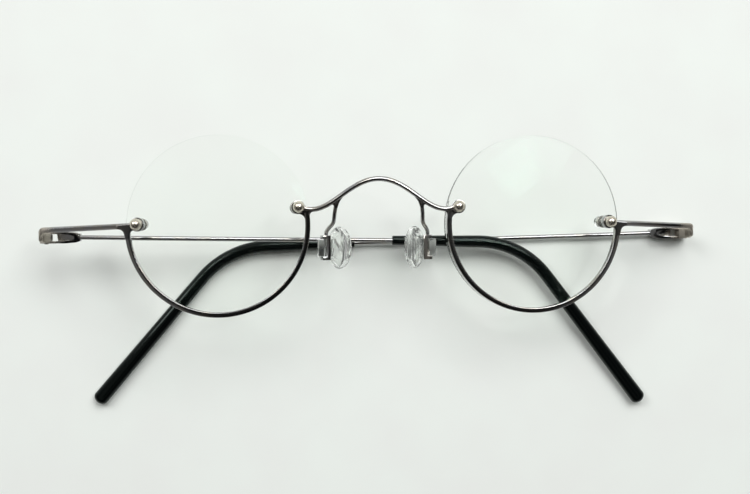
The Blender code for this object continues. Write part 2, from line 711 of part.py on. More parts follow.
def core_shape(grow):
    """The left core about its rocking axis: a plate and the lug through the box, grown by a margin."""
    plate = prism(core_outline(grow), "Z", -CORE_THICKNESS / 2 - grow, CORE_THICKNESS / 2 + grow)
    plate = moved(plate, pad_in_pivot())
    lug_half_depth = BOX_DEPTH / 2 - BOX_WALL - LUG_SIDE_GAP + grow
    lug_half_height = BOX_HEIGHT / 2 - BOX_CAP_WALL - RUNNING_GAP + grow
    reach = BOX_LENGTH + LUG_STAND_OUT
    root = -PAD_INSET * 0.9
    lug = block((root, -lug_half_height, -lug_half_depth), (reach, lug_half_height, lug_half_depth))
    lug = moved(lug, Matrix.Translation(-rock_point()) @ box_place())
    return combined(plate, lug, "UNION")


def build_cushion(side):
    """A flattened oval pad with a flat contact face and the pocket that its core sits in."""
    half = (PAD_WIDTH / 2, PAD_HEIGHT / 2, PAD_THICKNESS / 2)
    face_turn = math.acos(PAD_FACE_CUT / half[2] - 1)
    rings = [[Vector((0, 0, -half[2]))]]
    for step in range(1, PAD_RINGS + 1):
        turn = face_turn * step / PAD_RINGS
        swell = math.sin(turn) ** 0.75
        outline = ellipse(half[0] * swell, half[1] * swell, PAD_SEGMENTS)
        rings.append([Vector((a, b, -half[2] * math.cos(turn))) for a, b in outline])
    cushion = moved(loft(rings), pad_in_pivot())
    cushion = combined(cushion, core_shape(SEAT_GAP), "DIFFERENCE")
    return mirrored(cushion, side)


def temple_point(name, length):
    """Place and heading at a length along a temple's centre line, in the right temple's frame."""
    droop, turn = TEMPLE_DROOP[name], TEMPLE_TURN[name]
    straight = BEND_DISTANCE - FORK_LENGTH
    if length <= FORK_LENGTH:
        return Vector((length, 0, 0)), Vector((1, 0, 0))
    heading = droop
    run = min(length - FORK_LENGTH, straight)
    point = Vector((FORK_LENGTH, 0, 0)) + Vector((math.cos(droop), -math.sin(droop), 0)) * run
    past = length - BEND_DISTANCE
    if past > 0:
        heading = droop + min(past / BEND_RADIUS, turn)
        point.x += BEND_RADIUS * (math.sin(heading) - math.sin(droop))
        point.y -= BEND_RADIUS * (math.cos(droop) - math.cos(heading))
        beyond = max(past - BEND_RADIUS * turn, 0)
        point += Vector((math.cos(heading), -math.sin(heading), 0)) * beyond
    return point, Vector((math.cos(heading), -math.sin(heading), 0))


def temple_length(name):
    """Length of a temple's centre line from hinge axis to end."""
    return BEND_DISTANCE + BEND_RADIUS * TEMPLE_TURN[name] + TIP_REACH


def temple_stations(name, start, stop):
    """Lengths at which a temple's rings stand: few on its straights, more round its bend."""
    bend_end = BEND_DISTANCE + BEND_RADIUS * TEMPLE_TURN[name]
    bends = [BEND_DISTANCE + (bend_end - BEND_DISTANCE) * step / 9 for step in range(10)]
    straights = [FORK_LENGTH, 2 * FORK_LENGTH, BEND_DISTANCE / 2, (TIP_START + BEND_DISTANCE) / 2]
    straights += [bend_end + TIP_REACH * share for share in (0.33, 0.66)]
    inner = [length for length in bends + straights if start < length < stop]
    return sorted([start, *inner, stop])


def temple_ring(name, length, half_width, half_depth, sides):
    """A ring round a temple's centre line."""
    point, heading = temple_point(name, length)
    return ring_at(point, heading, Z_AXIS, ellipse(half_width, half_depth, sides))


def spade(half, tip, length):
    """The outline of a fork seen from the front: straight from behind the hinge, then closing to a tip."""
    neck = length - FORK_TAPER
    middle = (half + tip) / 2 + (half - tip) / 6
    upper = [(length, tip), (length - FORK_TAPER / 3, middle), (neck, half), (-2 * FORK_HALF_DEPTH, half)]
    return [(x, -y) for x, y in reversed(upper)] + upper


def build_fork():
    """The right fork in its temple's frame: two flanges round the barrel, a web behind and a solid end."""
    half = FORK_HALF_HEIGHT
    radius = FORK_HALF_DEPTH
    nose = [(-radius * math.sin(turn), radius * math.cos(turn))
            for turn in (math.pi * step / 10 for step in range(11))]
    side_view = nose + [(FORK_LENGTH, -radius), (FORK_LENGTH, radius * 0.6), (FORK_LENGTH - FORK_TAPER, radius)]
    fork = prism(side_view, "Y", -half, half)
    fork = combined(fork, prism(spade(half, FORK_TIP_HEIGHT / 2, FORK_LENGTH), "Z", -2 * radius, 2 * radius),
                    "INTERSECT")
    channel = spade(FORK_INNER_HALF, CHANNEL_TIP_HEIGHT / 2, FORK_LENGTH - FORK_BLOCK)
    fork = combined(fork, prism(channel, "Z", FORK_WEB - radius, 2 * radius), "DIFFERENCE")
    web_start = [(-2 * radius, -FORK_INNER_HALF), (FORK_WINDOW + FORK_WINDOW_SLANT, -FORK_INNER_HALF),
                 (FORK_WINDOW, FORK_INNER_HALF), (-2 * radius, FORK_INNER_HALF)]
    fork = combined(fork, prism(web_start, "Z", -2 * radius, 2 * radius), "DIFFERENCE")
    fork = combined(fork, prism(circle(HINGE_BORE, STUD_SEGMENTS), "Y", -2 * half, 2 * half), "DIFFERENCE")
    socket = prism(circle(WIRE_BORE, 12), "X", FORK_LENGTH - SOCKET_DEPTH, FORK_LENGTH + SOCKET_DEPTH)
    return combined(fork, socket, "DIFFERENCE")


def build_hinge_screw():
    """A slotted screw through fork and barrel, with its head on the upper flange and Y as its axis."""
    radius = HINGE_SCREW_DIAMETER / 2
    seat = FORK_HALF_HEIGHT + SEAT_GAP
    top = seat + HINGE_HEAD_THICKNESS
    head = HINGE_HEAD_DIAMETER / 2
    end = -FORK_HALF_HEIGHT - HINGE_SCREW_END
    chamfer = radius / 3
    rounding = HINGE_HEAD_THICKNESS / 3
    screw = turned([(0, top), (head - rounding, top), (head, top - rounding), (head, seat), (radius, seat),
                    (radius, end + chamfer), (radius - chamfer, end), (0, end)], STUD_SEGMENTS)
    half_slot = SLOT_WIDTH / 2
    slot = block((-head * 2, -half_slot, top - SLOT_DEPTH), (head * 2, half_slot, top + SLOT_DEPTH))
    screw = combined(screw, slot, "DIFFERENCE")
    return moved(screw, Matrix.Rotation(-math.pi / 2, 4, "X"))


def build_wire(name):
    """The round wire from the fork's socket to inside the tip."""
    start = FORK_LENGTH - SOCKET_DEPTH + SEAT_GAP
    stop = temple_length(name) - WIRE_END_COVER
    return loft([temple_ring(name, length, WIRE_RADIUS, WIRE_RADIUS, 8)
                 for length in temple_stations(name, start, stop)])


def tip_half_width(name, length):
    """Half the sleeve's width: a slow taper out of its mouth, and a little more towards its end."""
    mouth, body, end = TIP_MOUTH_DIAMETER / 2, TIP_DIAMETER / 2, TIP_END_WIDTH / 2
    bend_end = BEND_DISTANCE + BEND_RADIUS * TEMPLE_TURN[name]
    if length < BEND_DISTANCE:
        return mouth + (body - mouth) * (length - TIP_START) / (BEND_DISTANCE - TIP_START)
    if length < bend_end:
        return body
    return body + (end - body) * (length - bend_end) / TIP_REACH


def build_tip(name):
    """The sleeve over a temple's end: a blind bore round the wire inside a tapered, domed tube."""
    total = temple_length(name)
    bore_end = total - WIRE_END_COVER + SEAT_GAP
    rings = [[temple_point(name, bore_end)[0]]]
    for length in reversed(temple_stations(name, TIP_START, bore_end)):
        rings.append(temple_ring(name, length, WIRE_BORE, WIRE_BORE, TIP_SIDES))
    dome = TIP_DIAMETER / 2
    lip = (TIP_MOUTH_DIAMETER / 2 - WIRE_BORE) / 3
    mouth = TIP_MOUTH_DIAMETER / 2
    rings.append(temple_ring(name, TIP_START, mouth - lip, mouth - lip, TIP_SIDES))
    for length in temple_stations(name, TIP_START + lip, total - dome):
        width = tip_half_width(name, length)
        rings.append(temple_ring(name, length, width, min(width, TIP_DIAMETER / 2), TIP_SIDES))
    for turn in (math.pi / 6, math.pi / 3):
        scale = math.cos(turn)
        length = total - dome + dome * math.sin(turn)
        rings.append(temple_ring(name, length, TIP_END_WIDTH / 2 * scale, dome * scale, TIP_SIDES))
    rings.append([temple_point(name, total)[0]])
    return loft(rings)


def build_front(root, finishes):
    """Everything that doesn't move against the lenses."""
    front = pivot("front", root, Matrix.Identity(4))
    piece("bridge", build_bridge(), finishes["gunmetal"], front)
    for name, side in SIDES.items():
        piece(name + "_lens", build_lens(side), finishes["lens"], front, lens_place(side))
        piece(name + "_half_rim", build_half_rim(side), finishes["gunmetal"], front, lens_place(side))
        piece(name + "_end_piece", build_end_piece(side), finishes["gunmetal"], front)
        barrel_place = Matrix.Translation(hinge_point(side))
        piece(name + "_hinge_barrel", build_barrel(), finishes["gunmetal"], front, barrel_place)
        for kind in ("outer", "nose"):
            build_stud(front, name, kind, finishes)
        piece(name + "_pad_arm", build_pad_arm(side), finishes["gunmetal"], front)
        piece(name + "_pad_box", build_pad_box(side), finishes["gunmetal"], front)
    return front


def build_pads(front, finishes):
    """The two nose pads, each on an empty at its rocking axis."""
    for name, side in SIDES.items():
        place = rock_point()
        place.x *= side
        axis = pivot(name + "_pad_axis", front, Matrix.Translation(place))
        piece(name + "_pad_core", mirrored(core_shape(0.0), side), finishes["core"], axis)
        piece(name + "_pad_cushion", build_cushion(side), finishes["silicone"], axis)


def build_temples(front, finishes):
    """The two folded temples, each on an empty at its hinge."""
    for name, side in SIDES.items():
        place = Matrix.Translation(hinge_point(side)) @ Matrix.Rotation(-side * FOLD_SLOPE[name], 4, "Y")
        axis = pivot(name + "_temple_axis", front, place)
        piece(name + "_temple_fork", mirrored(build_fork(), -side), finishes["gunmetal"], axis)
        piece(name + "_hinge_screw", mirrored(build_hinge_screw(), -side), finishes["nut"], axis)
        piece(name + "_temple_wire", mirrored(build_wire(name), -side), finishes["gunmetal"], axis)
        piece(name + "_temple_tip", mirrored(build_tip(name), -side), finishes["black"], axis)


def lay_down(root):
    """Turns the left temple flat and stands the glasses on the middle of their own footprint."""
    root.matrix_local = Matrix.Rotation(FOLD_SLOPE["left"], 4, "Y")
    bpy.context.view_layer.update()
    points = [item.matrix_world @ vertex.co for item in bpy.data.objects if item.type == "MESH"
              for vertex in item.data.vertices]
    low = Vector(min(point[axis] for point in points) for axis in range(3))
    high = Vector(max(point[axis] for point in points) for axis in range(3))
    root.location = (-(low.x + high.x) / 2, -(low.y + high.y) / 2, -low.z)
    bpy.context.view_layer.update()


def main():
    """Builds the glasses."""
    clear_scene()
    finishes = {
        "gunmetal": finish("gunmetal_plating", (0.10, 0.10, 0.10), 0.22, 1.0),
        "ball": finish("polished_nickel", (0.62, 0.59, 0.54), 0.12, 1.0),
        "nut": finish("steel", (0.45, 0.45, 0.44), 0.3, 1.0),
        "lens": finish("clear_lens", (0.93, 0.95, 0.94), 0.03, 0.0, 0.25),
        "clear": finish("clear_nylon", (0.85, 0.87, 0.86), 0.15, 0.0, 0.5),
        "core": finish("clear_polycarbonate", (0.86, 0.88, 0.87), 0.1, 0.0, 0.5),
        "silicone": finish("clear_silicone", (0.84, 0.86, 0.85), 0.3, 0.0, 0.5),
        "black": finish("black_acetate", (0.012, 0.014, 0.014), 0.15, 0.0),
    }
    root = pivot("glasses", None, Matrix.Identity(4))
    front = build_front(root, finishes)
    build_pads(front, finishes)
    build_temples(front, finishes)
    lay_down(root)


main()
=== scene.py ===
"""Round semi-rimless reading glasses, folded and laid down with the front of the lenses up."""

import logging
import math
from dataclasses import dataclass, field
from enum import Enum
from functools import cache
from typing import Sequence

import bmesh
import bpy
from bmesh.types import BMesh
from bpy.types import ID, Material, Node, NodeSocket, NodeTree, Object
from mathutils import Euler, Matrix, Vector


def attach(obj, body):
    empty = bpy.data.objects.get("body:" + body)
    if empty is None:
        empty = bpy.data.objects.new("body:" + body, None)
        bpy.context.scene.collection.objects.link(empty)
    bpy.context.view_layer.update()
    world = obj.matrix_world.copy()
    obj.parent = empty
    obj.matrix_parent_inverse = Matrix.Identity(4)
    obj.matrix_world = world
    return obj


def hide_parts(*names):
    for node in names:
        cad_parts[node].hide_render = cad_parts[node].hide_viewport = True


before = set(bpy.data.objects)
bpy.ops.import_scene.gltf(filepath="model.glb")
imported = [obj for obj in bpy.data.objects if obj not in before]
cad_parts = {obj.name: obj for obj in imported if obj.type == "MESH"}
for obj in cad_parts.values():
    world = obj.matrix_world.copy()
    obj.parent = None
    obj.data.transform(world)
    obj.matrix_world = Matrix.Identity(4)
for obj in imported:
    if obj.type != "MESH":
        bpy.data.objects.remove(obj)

LOG = logging.getLogger("glasses")
MM = 0.001
X_AXIS = Vector((1, 0, 0))
Y_AXIS = Vector((0, 1, 0))
Z_AXIS = Vector((0, 0, 1))
# The front's own frame in the row frame, in millimetres: X to the wearer's left, Y up, Z forward.
FRONT_FRAME = Matrix.Translation((0.605, 10.116, 14.851)) @ Matrix.Rotation(math.radians(3.7), 4, "Y")
SEAM = 0.04                    # between parts that are brazed together or stacked, in millimetres
WELD = 0.002                   # points nearer to each other than this are one
SHARP_EDGE = math.radians(38)  # a steeper edge stays sharp to the eye
EASED_EDGE = math.radians(35)  # a steeper edge gets a rounding
FLAT = math.radians(1)         # faces that turn less than this are one
LENS_SIDES = 144
FINE_SIDES = 48                # of balls and loops
BORE_SIDES = 32                # of bores and of the temple tips
DRILL_TOP = 4.0
NOISE = (0.3, 0.7)             # most of a noise lies between these
SHARE, LOW, HIGH = 0, 6, 7     # a Mix node's inputs where it mixes colours
NO_LIMIT = 1e9                 # a size so large that its direction counts for nothing

Span = tuple[float, float]
Triple = tuple[float, float, float]
Outline = Sequence[Span]


class Side(Enum):
    """The wearer's sides. The value is the sign of X in the front's frame."""

    LEFT = 1
    RIGHT = -1

    @property
    def word(self) -> str:
        """The side as the nodes' names have it."""
        return self.name.lower()


class StudSpot(Enum):
    """The two studs of a lens, named as in the nodes' names."""

    OUTER = "outer"
    NOSE = "nose"


# Colour and nodes


def linear(colour: str) -> tuple[float, float, float, float]:
    """Turns an sRGB hex colour into linear light.

    Args:
        colour: six hex digits after a number sign.

    Returns:
        Red, green, blue and an alpha of 1.
    """
    shares = [int(colour[place:place + 2], 16) / 255 for place in (1, 3, 5)]
    red, green, blue = [s / 12.92 if s <= 0.04045 else ((s + 0.055) / 1.055) ** 2.4 for s in shares]
    return red, green, blue, 1.0


def add_node(tree: NodeTree, kind: str, settings: dict[int | str, object] | None = None,
             links: dict[int | str, Node | NodeSocket] | None = None) -> Node:
    """Adds one node with its settings and its incoming links.

    Args:
        tree: the node tree that gets the node.
        kind: the node's type name without ShaderNode in front.
        settings: values of its properties, or of its inputs by name or number.
        links: for each input by name or number, the socket that feeds it, or a node whose first output
            in use does.

    Returns:
        The new node.
    """
    node = tree.nodes.new("ShaderNode" + kind)
    for key, value in (settings or {}).items():
        if isinstance(key, str) and hasattr(node, key):
            setattr(node, key, value)
        else:
            node.inputs[key].default_value = value
    for key, source in (links or {}).items():
        if isinstance(source, Node):
            source = next(socket for socket in source.outputs if socket.enabled)
        tree.links.new(source, node.inputs[key])
    return node


def between(start: float, stop: float, low: float = 0.0, high: float = 1.0) -> dict[str, float]:
    """Settings that turn what lies from start to stop into what lies from low to high."""
    return {"From Min": start, "From Max": stop, "To Min": low, "To Max": high}


def grain(tree: NodeTree, size_mm: float, detail: float = 2.0) -> Node:
    """Adds a noise whose grains have a real size on the piece, and finer noise in steps of detail."""
    place = add_node(tree, "TexCoord").outputs["Object"]
    return add_node(tree, "TexNoise", {"Scale": 1 / (size_mm * MM), "Detail": detail}, {"Vector": place})


def blended(tree: NodeTree, pattern: Node | NodeSocket, colours: tuple[str, str], over: Span = NOISE) -> Node:
    """Lets a pattern lead from one colour to another.

    Args:
        tree: the node tree.
        pattern: what leads.
        colours: the two colours.
        over: where the pattern leaves the first colour, and where it reaches the second.

    Returns:
        The node that gives the colour.
    """
    share = add_node(tree, "MapRange", between(*over), {"Value": pattern})
    first, second = map(linear, colours)
    return add_node(tree, "Mix", {"data_type": "RGBA", LOW: first, HIGH: second}, {SHARE: share})


# Finishes


@dataclass(frozen=True)
class Finish:
    """A material that is made once, and the record's slot that it belongs to."""

    name: str
    slot: str

    def surface(self, tree: NodeTree) -> Node:
        """Adds the finish's nodes to a tree and gives the last one."""
        raise NotImplementedError

    @cache
    def material(self) -> Material:
        """Makes the material, or gives the one made before.

        Returns:
            The material.
        """
        made = bpy.data.materials.new(self.name)
        made.use_nodes = True
        made.node_tree.nodes.clear()
        add_node(made.node_tree, "OutputMaterial", links={"Surface": self.surface(made.node_tree)})
        return made


@dataclass(frozen=True)
class PlatedWire(Finish):
    """Black nickel electroplate on drawn nickel silver wire: a grey mirror that goes light or black with what
    it faces, a little warmer where the plate is thin, with faint lines from the drawing die. At the hinges it
    lies thin on filed metal, so that they are satin. Their colour is also painted paler and warmer there:
    partly the filed metal, partly a painted sheen for the light that their faces catch."""

    plate: tuple[str, str] = ("#a3a3a4", "#aaa69f")
    plate_over: Span = (0.42, 0.66)
    # painted sheen: a paler, warmer colour at the hinges, partly the filed metal's own and partly standing in
    # for the light their faces catch
    filed_and_sheen: str = "#b3aca1"
    filed_and_sheen_from_mm: Span = (61.9, 64.4)  # from the middle of the glasses: where the filed satin and the painted sheen begin, where they are full
    roughness: Span = (0.08, 0.16)
    satin: float = 0.30  # added to the roughness where the metal was filed
    patch_mm: float = 3.0  # plate thickness drifts over a few millimetres
    line_mm: float = 0.12  # die lines are about 0.02 mm, drawn coarser so that they show
    line_depth_mm: float = 0.02
    relief: float = 0.05

    def surface(self, tree: NodeTree) -> Node:
        """Adds the plate, the filed ends and the die lines.

        Args:
            tree: the material's node tree.

        Returns:
            The shader.
        """
        plate = blended(tree, grain(tree, self.patch_mm), self.plate, self.plate_over)
        place = add_node(tree, "TexCoord").outputs["Object"]
        across = add_node(tree, "SeparateXYZ", links={"Vector": place})
        aside = add_node(tree, "Math", {"operation": "ABSOLUTE"}, {0: across.outputs["X"]})
        start, full = self.filed_and_sheen_from_mm
        filed_and_sheen = add_node(tree, "MapRange", between(start * MM, full * MM), {"Value": aside})
        # painted sheen: the paler colour is mixed in at the hinges, for the filed metal and for the light on
        # their faces
        tint = add_node(tree, "Mix", {"data_type": "RGBA", HIGH: linear(self.filed_and_sheen)},
                        {SHARE: filed_and_sheen, LOW: plate})
        lines = grain(tree, self.line_mm, 3.0)
        drawn = add_node(tree, "MapRange", between(*NOISE, *self.roughness), {"Value": lines})
        rough = add_node(tree, "Math", {"operation": "MULTIPLY_ADD", 1: self.satin}, {0: filed_and_sheen, 2: drawn})
        bump = add_node(tree, "Bump", {"Strength": self.relief, "Distance": self.line_depth_mm * MM},
                        {"Height": lines})
        return add_node(tree, "BsdfPrincipled", {"Metallic": 1.0},
                        {"Base Color": tint, "Roughness": rough, "Normal": bump})


@dataclass(frozen=True)
class BrightMetal(Finish):
    """A bare bright metal, tumbled or turned: an even mirror with a fine haze of scratches."""

    colours: tuple[str, str]
    roughness: Span
    scratch_mm: float = 0.15  # marks are about 0.03 mm, drawn coarser so that they show
    scratch_depth_mm: float = 0.02
    relief: float = 0.06

    def surface(self, tree: NodeTree) -> Node:
        """Adds the metal and its haze.

        Args:
            tree: the material's node tree.

        Returns:
            The shader.
        """
        haze = grain(tree, self.scratch_mm, 4.0)
        rough = add_node(tree, "MapRange", between(*NOISE, *self.roughness), {"Value": haze})
        bump = add_node(tree, "Bump", {"Strength": self.relief, "Distance": self.scratch_depth_mm * MM},
                        {"Height": haze})
        return add_node(tree, "BsdfPrincipled", {"Metallic": 1.0}, {
            "Base Color": blended(tree, haze, self.colours), "Roughness": rough, "Normal": bump})


@dataclass(frozen=True)
class ClearMoulding(Finish):
    """A clear resin, cast or moulded: what lies behind shows through, bent at the rims and edges. Light
    from the lamps passes it, so that it throws hardly any shadow."""

    colour: str
    ior: float
    roughness: Span
    reflection: str
    smear_mm: float  # flow marks and traces of wiping
    milk: float = 0.0  # share of light that scatters back
    relief: float = 0.0
    smear_depth_mm: float = 0.05

    def surface(self, tree: NodeTree) -> Node:
        """Adds the resin and the way through for the lamps' light.

        Args:
            tree: the material's node tree.

        Returns:
            The shader.
        """
        smears = grain(tree, self.smear_mm)
        feeds = {"Roughness": add_node(tree, "MapRange", between(*NOISE, *self.roughness), {"Value": smears})}
        if self.relief:
            feeds["Normal"] = add_node(tree, "Bump", {
                "Strength": self.relief, "Distance": self.smear_depth_mm * MM}, {"Height": smears})
        resin = add_node(tree, "BsdfPrincipled", {
            "Base Color": linear(self.colour), "IOR": self.ior, "Transmission Weight": 1.0 - self.milk,
            "Specular Tint": linear(self.reflection)}, feeds)
        rays = add_node(tree, "LightPath").outputs
        passing = add_node(tree, "Math", {"operation": "MAXIMUM"},
                           {0: rays["Is Shadow Ray"], 1: rays["Is Diffuse Ray"]})
        clear = add_node(tree, "BsdfTransparent", {"Color": linear(self.colour)})
        return add_node(tree, "MixShader", links={0: passing, 1: resin, 2: clear})


@dataclass(frozen=True)
class BlackAcetate(Finish):
    """Black cellulose acetate, buffed: deep black under a soft gloss, with faint buffing waves."""

    colours: tuple[str, str] = ("#040606", "#080b0b")
    worn_over: Span = (0.45, 0.75)
    roughness: Span = (0.06, 0.13)
    ior: float = 1.49
    reflectance: float = 0.26  # half of bare acetate's, since buffing wax takes the glare off
    reflection: str = "#e2f6ec"
    wave_mm: float = 2.2  # buffing leaves waves of a few millimetres
    wave_height_mm: float = 0.1
    relief: float = 0.12
    haze_mm: float = 0.2  # wiping marks are about 0.05 mm, drawn coarser so that they show

    def surface(self, tree: NodeTree) -> Node:
        """Adds the black, its waves and its wiping marks.

        Args:
            tree: the material's node tree.

        Returns:
            The shader.
        """
        haze = grain(tree, self.haze_mm, 3.0)
        rough = add_node(tree, "MapRange", between(*NOISE, *self.roughness), {"Value": haze})
        bump = add_node(tree, "Bump", {"Strength": self.relief, "Distance": self.wave_height_mm * MM},
                        {"Height": grain(tree, self.wave_mm, 1.0)})
        tint = blended(tree, haze, self.colours, self.worn_over)
        settings = {"IOR": self.ior, "Specular IOR Level": self.reflectance,
                    "Specular Tint": linear(self.reflection)}
        return add_node(tree, "BsdfPrincipled", settings,
                        {"Base Color": tint, "Roughness": rough, "Normal": bump})


@dataclass(frozen=True)
class PaperBoard(Finish):
    """Smooth white card under the glasses: an even, faintly green white with a slight mottle."""

    colours: tuple[str, str] = ("#f0f5f0", "#eef1ed")
    mottle_mm: float = 18.0
    roughness: float = 0.9
    reflectance: float = 0.1

    def surface(self, tree: NodeTree) -> Node:
        """Adds the card and its mottle.

        Args:
            tree: the material's node tree.

        Returns:
            The shader.
        """
        settings = {"Roughness": self.roughness, "Specular IOR Level": self.reflectance}
        tint = blended(tree, grain(tree, self.mottle_mm), self.colours)
        return add_node(tree, "BsdfPrincipled", settings, {"Base Color": tint})


GUNMETAL = PlatedWire("gunmetal_electroplate", "gunmetal_plating")
# Nickel balls are tumbled bright: warm light grey mirrors.
NICKEL = BrightMetal("tumbled_nickel", "polished_nickel", ("#d8d2c4", "#c9c1b2"), (0.18, 0.3))
# Stainless nuts and screws are turned and left bright: cooler and duller than the balls.
STEEL = BrightMetal("turned_stainless_steel", "steel", ("#aeada9", "#94928d"), (0.18, 0.32))
# Lens resin with an anti-reflection coat: nearly unseen, with a weak green reflection.
LENS_RESIN = ClearMoulding("coated_lens_resin", "clear_lens", "#fdfefd", 1.5, (0.0, 0.012), "#3f5a4c", 6.0)
# Clear nylon washers and caps: slightly hazy from the mould.
NYLON = ClearMoulding("moulded_clear_nylon", "clear_nylon", "#f8f9f8", 1.53, (0.02, 0.08), "#9a9c9a", 0.4,
                      milk=0.02, relief=0.05)
# Polycarbonate pad cores: hard, bright and clear, so that their edges draw fine dark lines.
POLYCARBONATE = ClearMoulding("moulded_clear_polycarbonate", "clear_polycarbonate", "#fcfdfc", 1.58,
                              (0.01, 0.04), "#a5a7a5", 0.8, milk=0.02)
# Silicone cushions: soft, clear and a little milky, with a satin skin.
SILICONE = ClearMoulding("moulded_clear_silicone", "clear_silicone", "#fcfdfc", 1.41, (0.03, 0.1),
                         "#a5a7a5", 0.7, milk=0.05, relief=0.06)
ACETATE = BlackAcetate("buffed_black_acetate", "black_acetate")
CARD = PaperBoard("smooth_white_card", "")  # the floor isn't part of the glasses, so it has no slot


# Shapes, in millimetres in the front's frame


def steps(start: float, stop: float, count: int) -> list[float]:
    """Even steps from start to stop, with both ends."""
    return [start + (stop - start) * step / count for step in range(count + 1)]


def ellipse(half_width: float, half_height: float, sides: int) -> Outline:
    """An oval outline of even turns."""
    turns = steps(0, 2 * math.pi, sides)[:-1]
    return [(half_width * math.cos(turn), half_height * math.sin(turn)) for turn in turns]


def circle(radius: float, sides: int) -> Outline:
    """A round outline of equal sides."""
    return ellipse(radius, radius, sides)


def rounded_bar(width: float, height: float, corner: float, flats: int = 5) -> Outline:
    """Draws a rectangle with round corners.

    Args:
        width: its size along the first coordinate.
        height: its size along the second.
        corner: the corners' radius.
        flats: how many make a corner.

    Returns:
        The outline, anticlockwise.
    """
    points = []
    for quarter, (sign_x, sign_y) in enumerate(((1, 1), (-1, 1), (-1, -1), (1, -1))):
        for turn in steps(math.pi / 2 * quarter, math.pi / 2 * (quarter + 1), flats):
            points.append((sign_x * (width / 2 - corner) + corner * math.cos(turn),
                           sign_y * (height / 2 - corner) + corner * math.sin(turn)))
    return points


def ring_at(centre: Vector, heading: Vector, up: Vector, outline: Outline) -> list[Vector]:
    """Sets an outline square to a heading, with its second coordinate roughly up."""
    across = heading.cross(up).normalized()
    return [centre + across * a + across.cross(heading).normalized() * b for a, b in outline]


def loft(rings: Sequence[Sequence[Vector]]) -> BMesh:
    """Closes a body through a row of rings.

    Args:
        rings: the rings in order. One of a single point is a pole, and open ends are capped.

    Returns:
        The body.
    """
    shape = bmesh.new()
    rows = [[shape.verts.new(point) for point in ring] for ring in rings]
    for row, following in zip(rows, rows[1:]):
        count = max(len(row), len(following))
        for step in range(count):
            after = (step + 1) % count
            corners = [row[step % len(row)], row[after % len(row)]]
            corners += [following[after % len(following)], following[step % len(following)]]
            shape.faces.new(list(dict.fromkeys(corners)))
    for row in (rows[0], rows[-1]):
        if len(row) > 1:
            shape.faces.new(row)
    bmesh.ops.recalc_face_normals(shape, faces=shape.faces)
    return shape


def turned(profile: Sequence[Span], segments: int) -> BMesh:
    """Turns points of radius and height round Z, closed on the axis at both ends."""
    return loft([[Vector((0, 0, height))] if radius == 0 else
                 [Vector((a, b, height)) for a, b in circle(radius, segments)] for radius, height in profile])


def drill(radius: float, depth: float) -> BMesh:
    """A drill through the origin, to a depth below it."""
    return turned([(0, DRILL_TOP), (radius, DRILL_TOP), (radius, -depth), (0, -depth)], BORE_SIDES)


def swept(path: Sequence[Vector], outline: Outline, up: Vector) -> BMesh:
    """Carries an outline along a path.

    Args:
        path: the centre line's points.
        outline: the outline.
        up: roughly where its second coordinate points.

    Returns:
        The body.
    """
    around = zip([path[0], *path], path, [*path[1:], path[-1]])
    return loft([ring_at(point, (after - before).normalized(), up, outline)
                 for before, point, after in around])


def smooth_path(points: Sequence[Vector], per_span: int) -> list[Vector]:
    """Draws one smooth curve through some points.

    Args:
        points: the points that it passes.
        per_span: how many steps it takes from one to the next.

    Returns:
        The curve's points.
    """
    ends = [points[0] * 2 - points[1], *points, points[-1] * 2 - points[-2]]
    path = []
    for before, start, stop, after in zip(ends, ends[1:], ends[2:], ends[3:]):
        for t in steps(0, 1, per_span)[:-1]:
            path.append(0.5 * (2 * start + (stop - before) * t
                               + (2 * before - 5 * start + 4 * stop - after) * t ** 2
                               + (3 * start - before - 3 * stop + after) * t ** 3))
    return path + [points[-1]]


def falling(angle: float) -> Vector:
    """The direction along X that falls by an angle."""
    return Vector((math.cos(angle), -math.sin(angle), 0))


def moved(shape: BMesh, matrix: Matrix) -> BMesh:
    """The same shape at another place."""
    shape.transform(matrix)
    return shape


def mirrored(shape: BMesh, side: Side) -> BMesh:
    """Fits a shape that was built for the wearer's left to a side.

    Args:
        shape: the shape.
        side: the side.

    Returns:
        The shape, or for the right side its mirror image.
    """
    if side is Side.RIGHT:
        shape.transform(Matrix.Scale(-1, 4, X_AXIS))
        bmesh.ops.reverse_faces(shape, faces=shape.faces)
    return shape


def in_scene(data: ID) -> Object:
    """Makes an object of a mesh, a lamp or a camera, under its name.

    Args:
        data: the mesh, lamp or camera.

    Returns:
        The object.
    """
    item = bpy.data.objects.new(data.name, data)
    bpy.context.scene.collection.objects.link(item)
    return item


def loose_object(name: str, shape: BMesh) -> Object:
    """Puts a shape into the scene.

    Args:
        name: the object's name.
        shape: the shape, which is let go.

    Returns:
        The object.
    """
    mesh = bpy.data.meshes.new(name)
    shape.to_mesh(mesh)
    shape.free()
    return in_scene(mesh)


def evaluated(item: Object) -> BMesh:
    """Applies an object's modifiers and clears it away.

    Args:
        item: the object.

    Returns:
        Its shape with the modifiers applied.
    """
    bpy.context.view_layer.update()
    result = item.evaluated_get(bpy.context.evaluated_depsgraph_get())
    shape = bmesh.new()
    shape.from_mesh(result.to_mesh())
    result.to_mesh_clear()
    bpy.data.objects.remove(item, do_unlink=True)
    return shape


def combined(base: BMesh, tool: BMesh, operation: str) -> BMesh:
    """Joins or cuts two shapes.

    Args:
        base: the shape that stays.
        tool: the shape that is added or taken away.
        operation: UNION or DIFFERENCE.

    Returns:
        The result.
    """
    first, second = loose_object("base", base), loose_object("tool", tool)
    modifier = first.modifiers.new("combine", "BOOLEAN")
    modifier.object = second
    modifier.operation = operation
    result = evaluated(first)
    bpy.data.objects.remove(second, do_unlink=True)
    return result


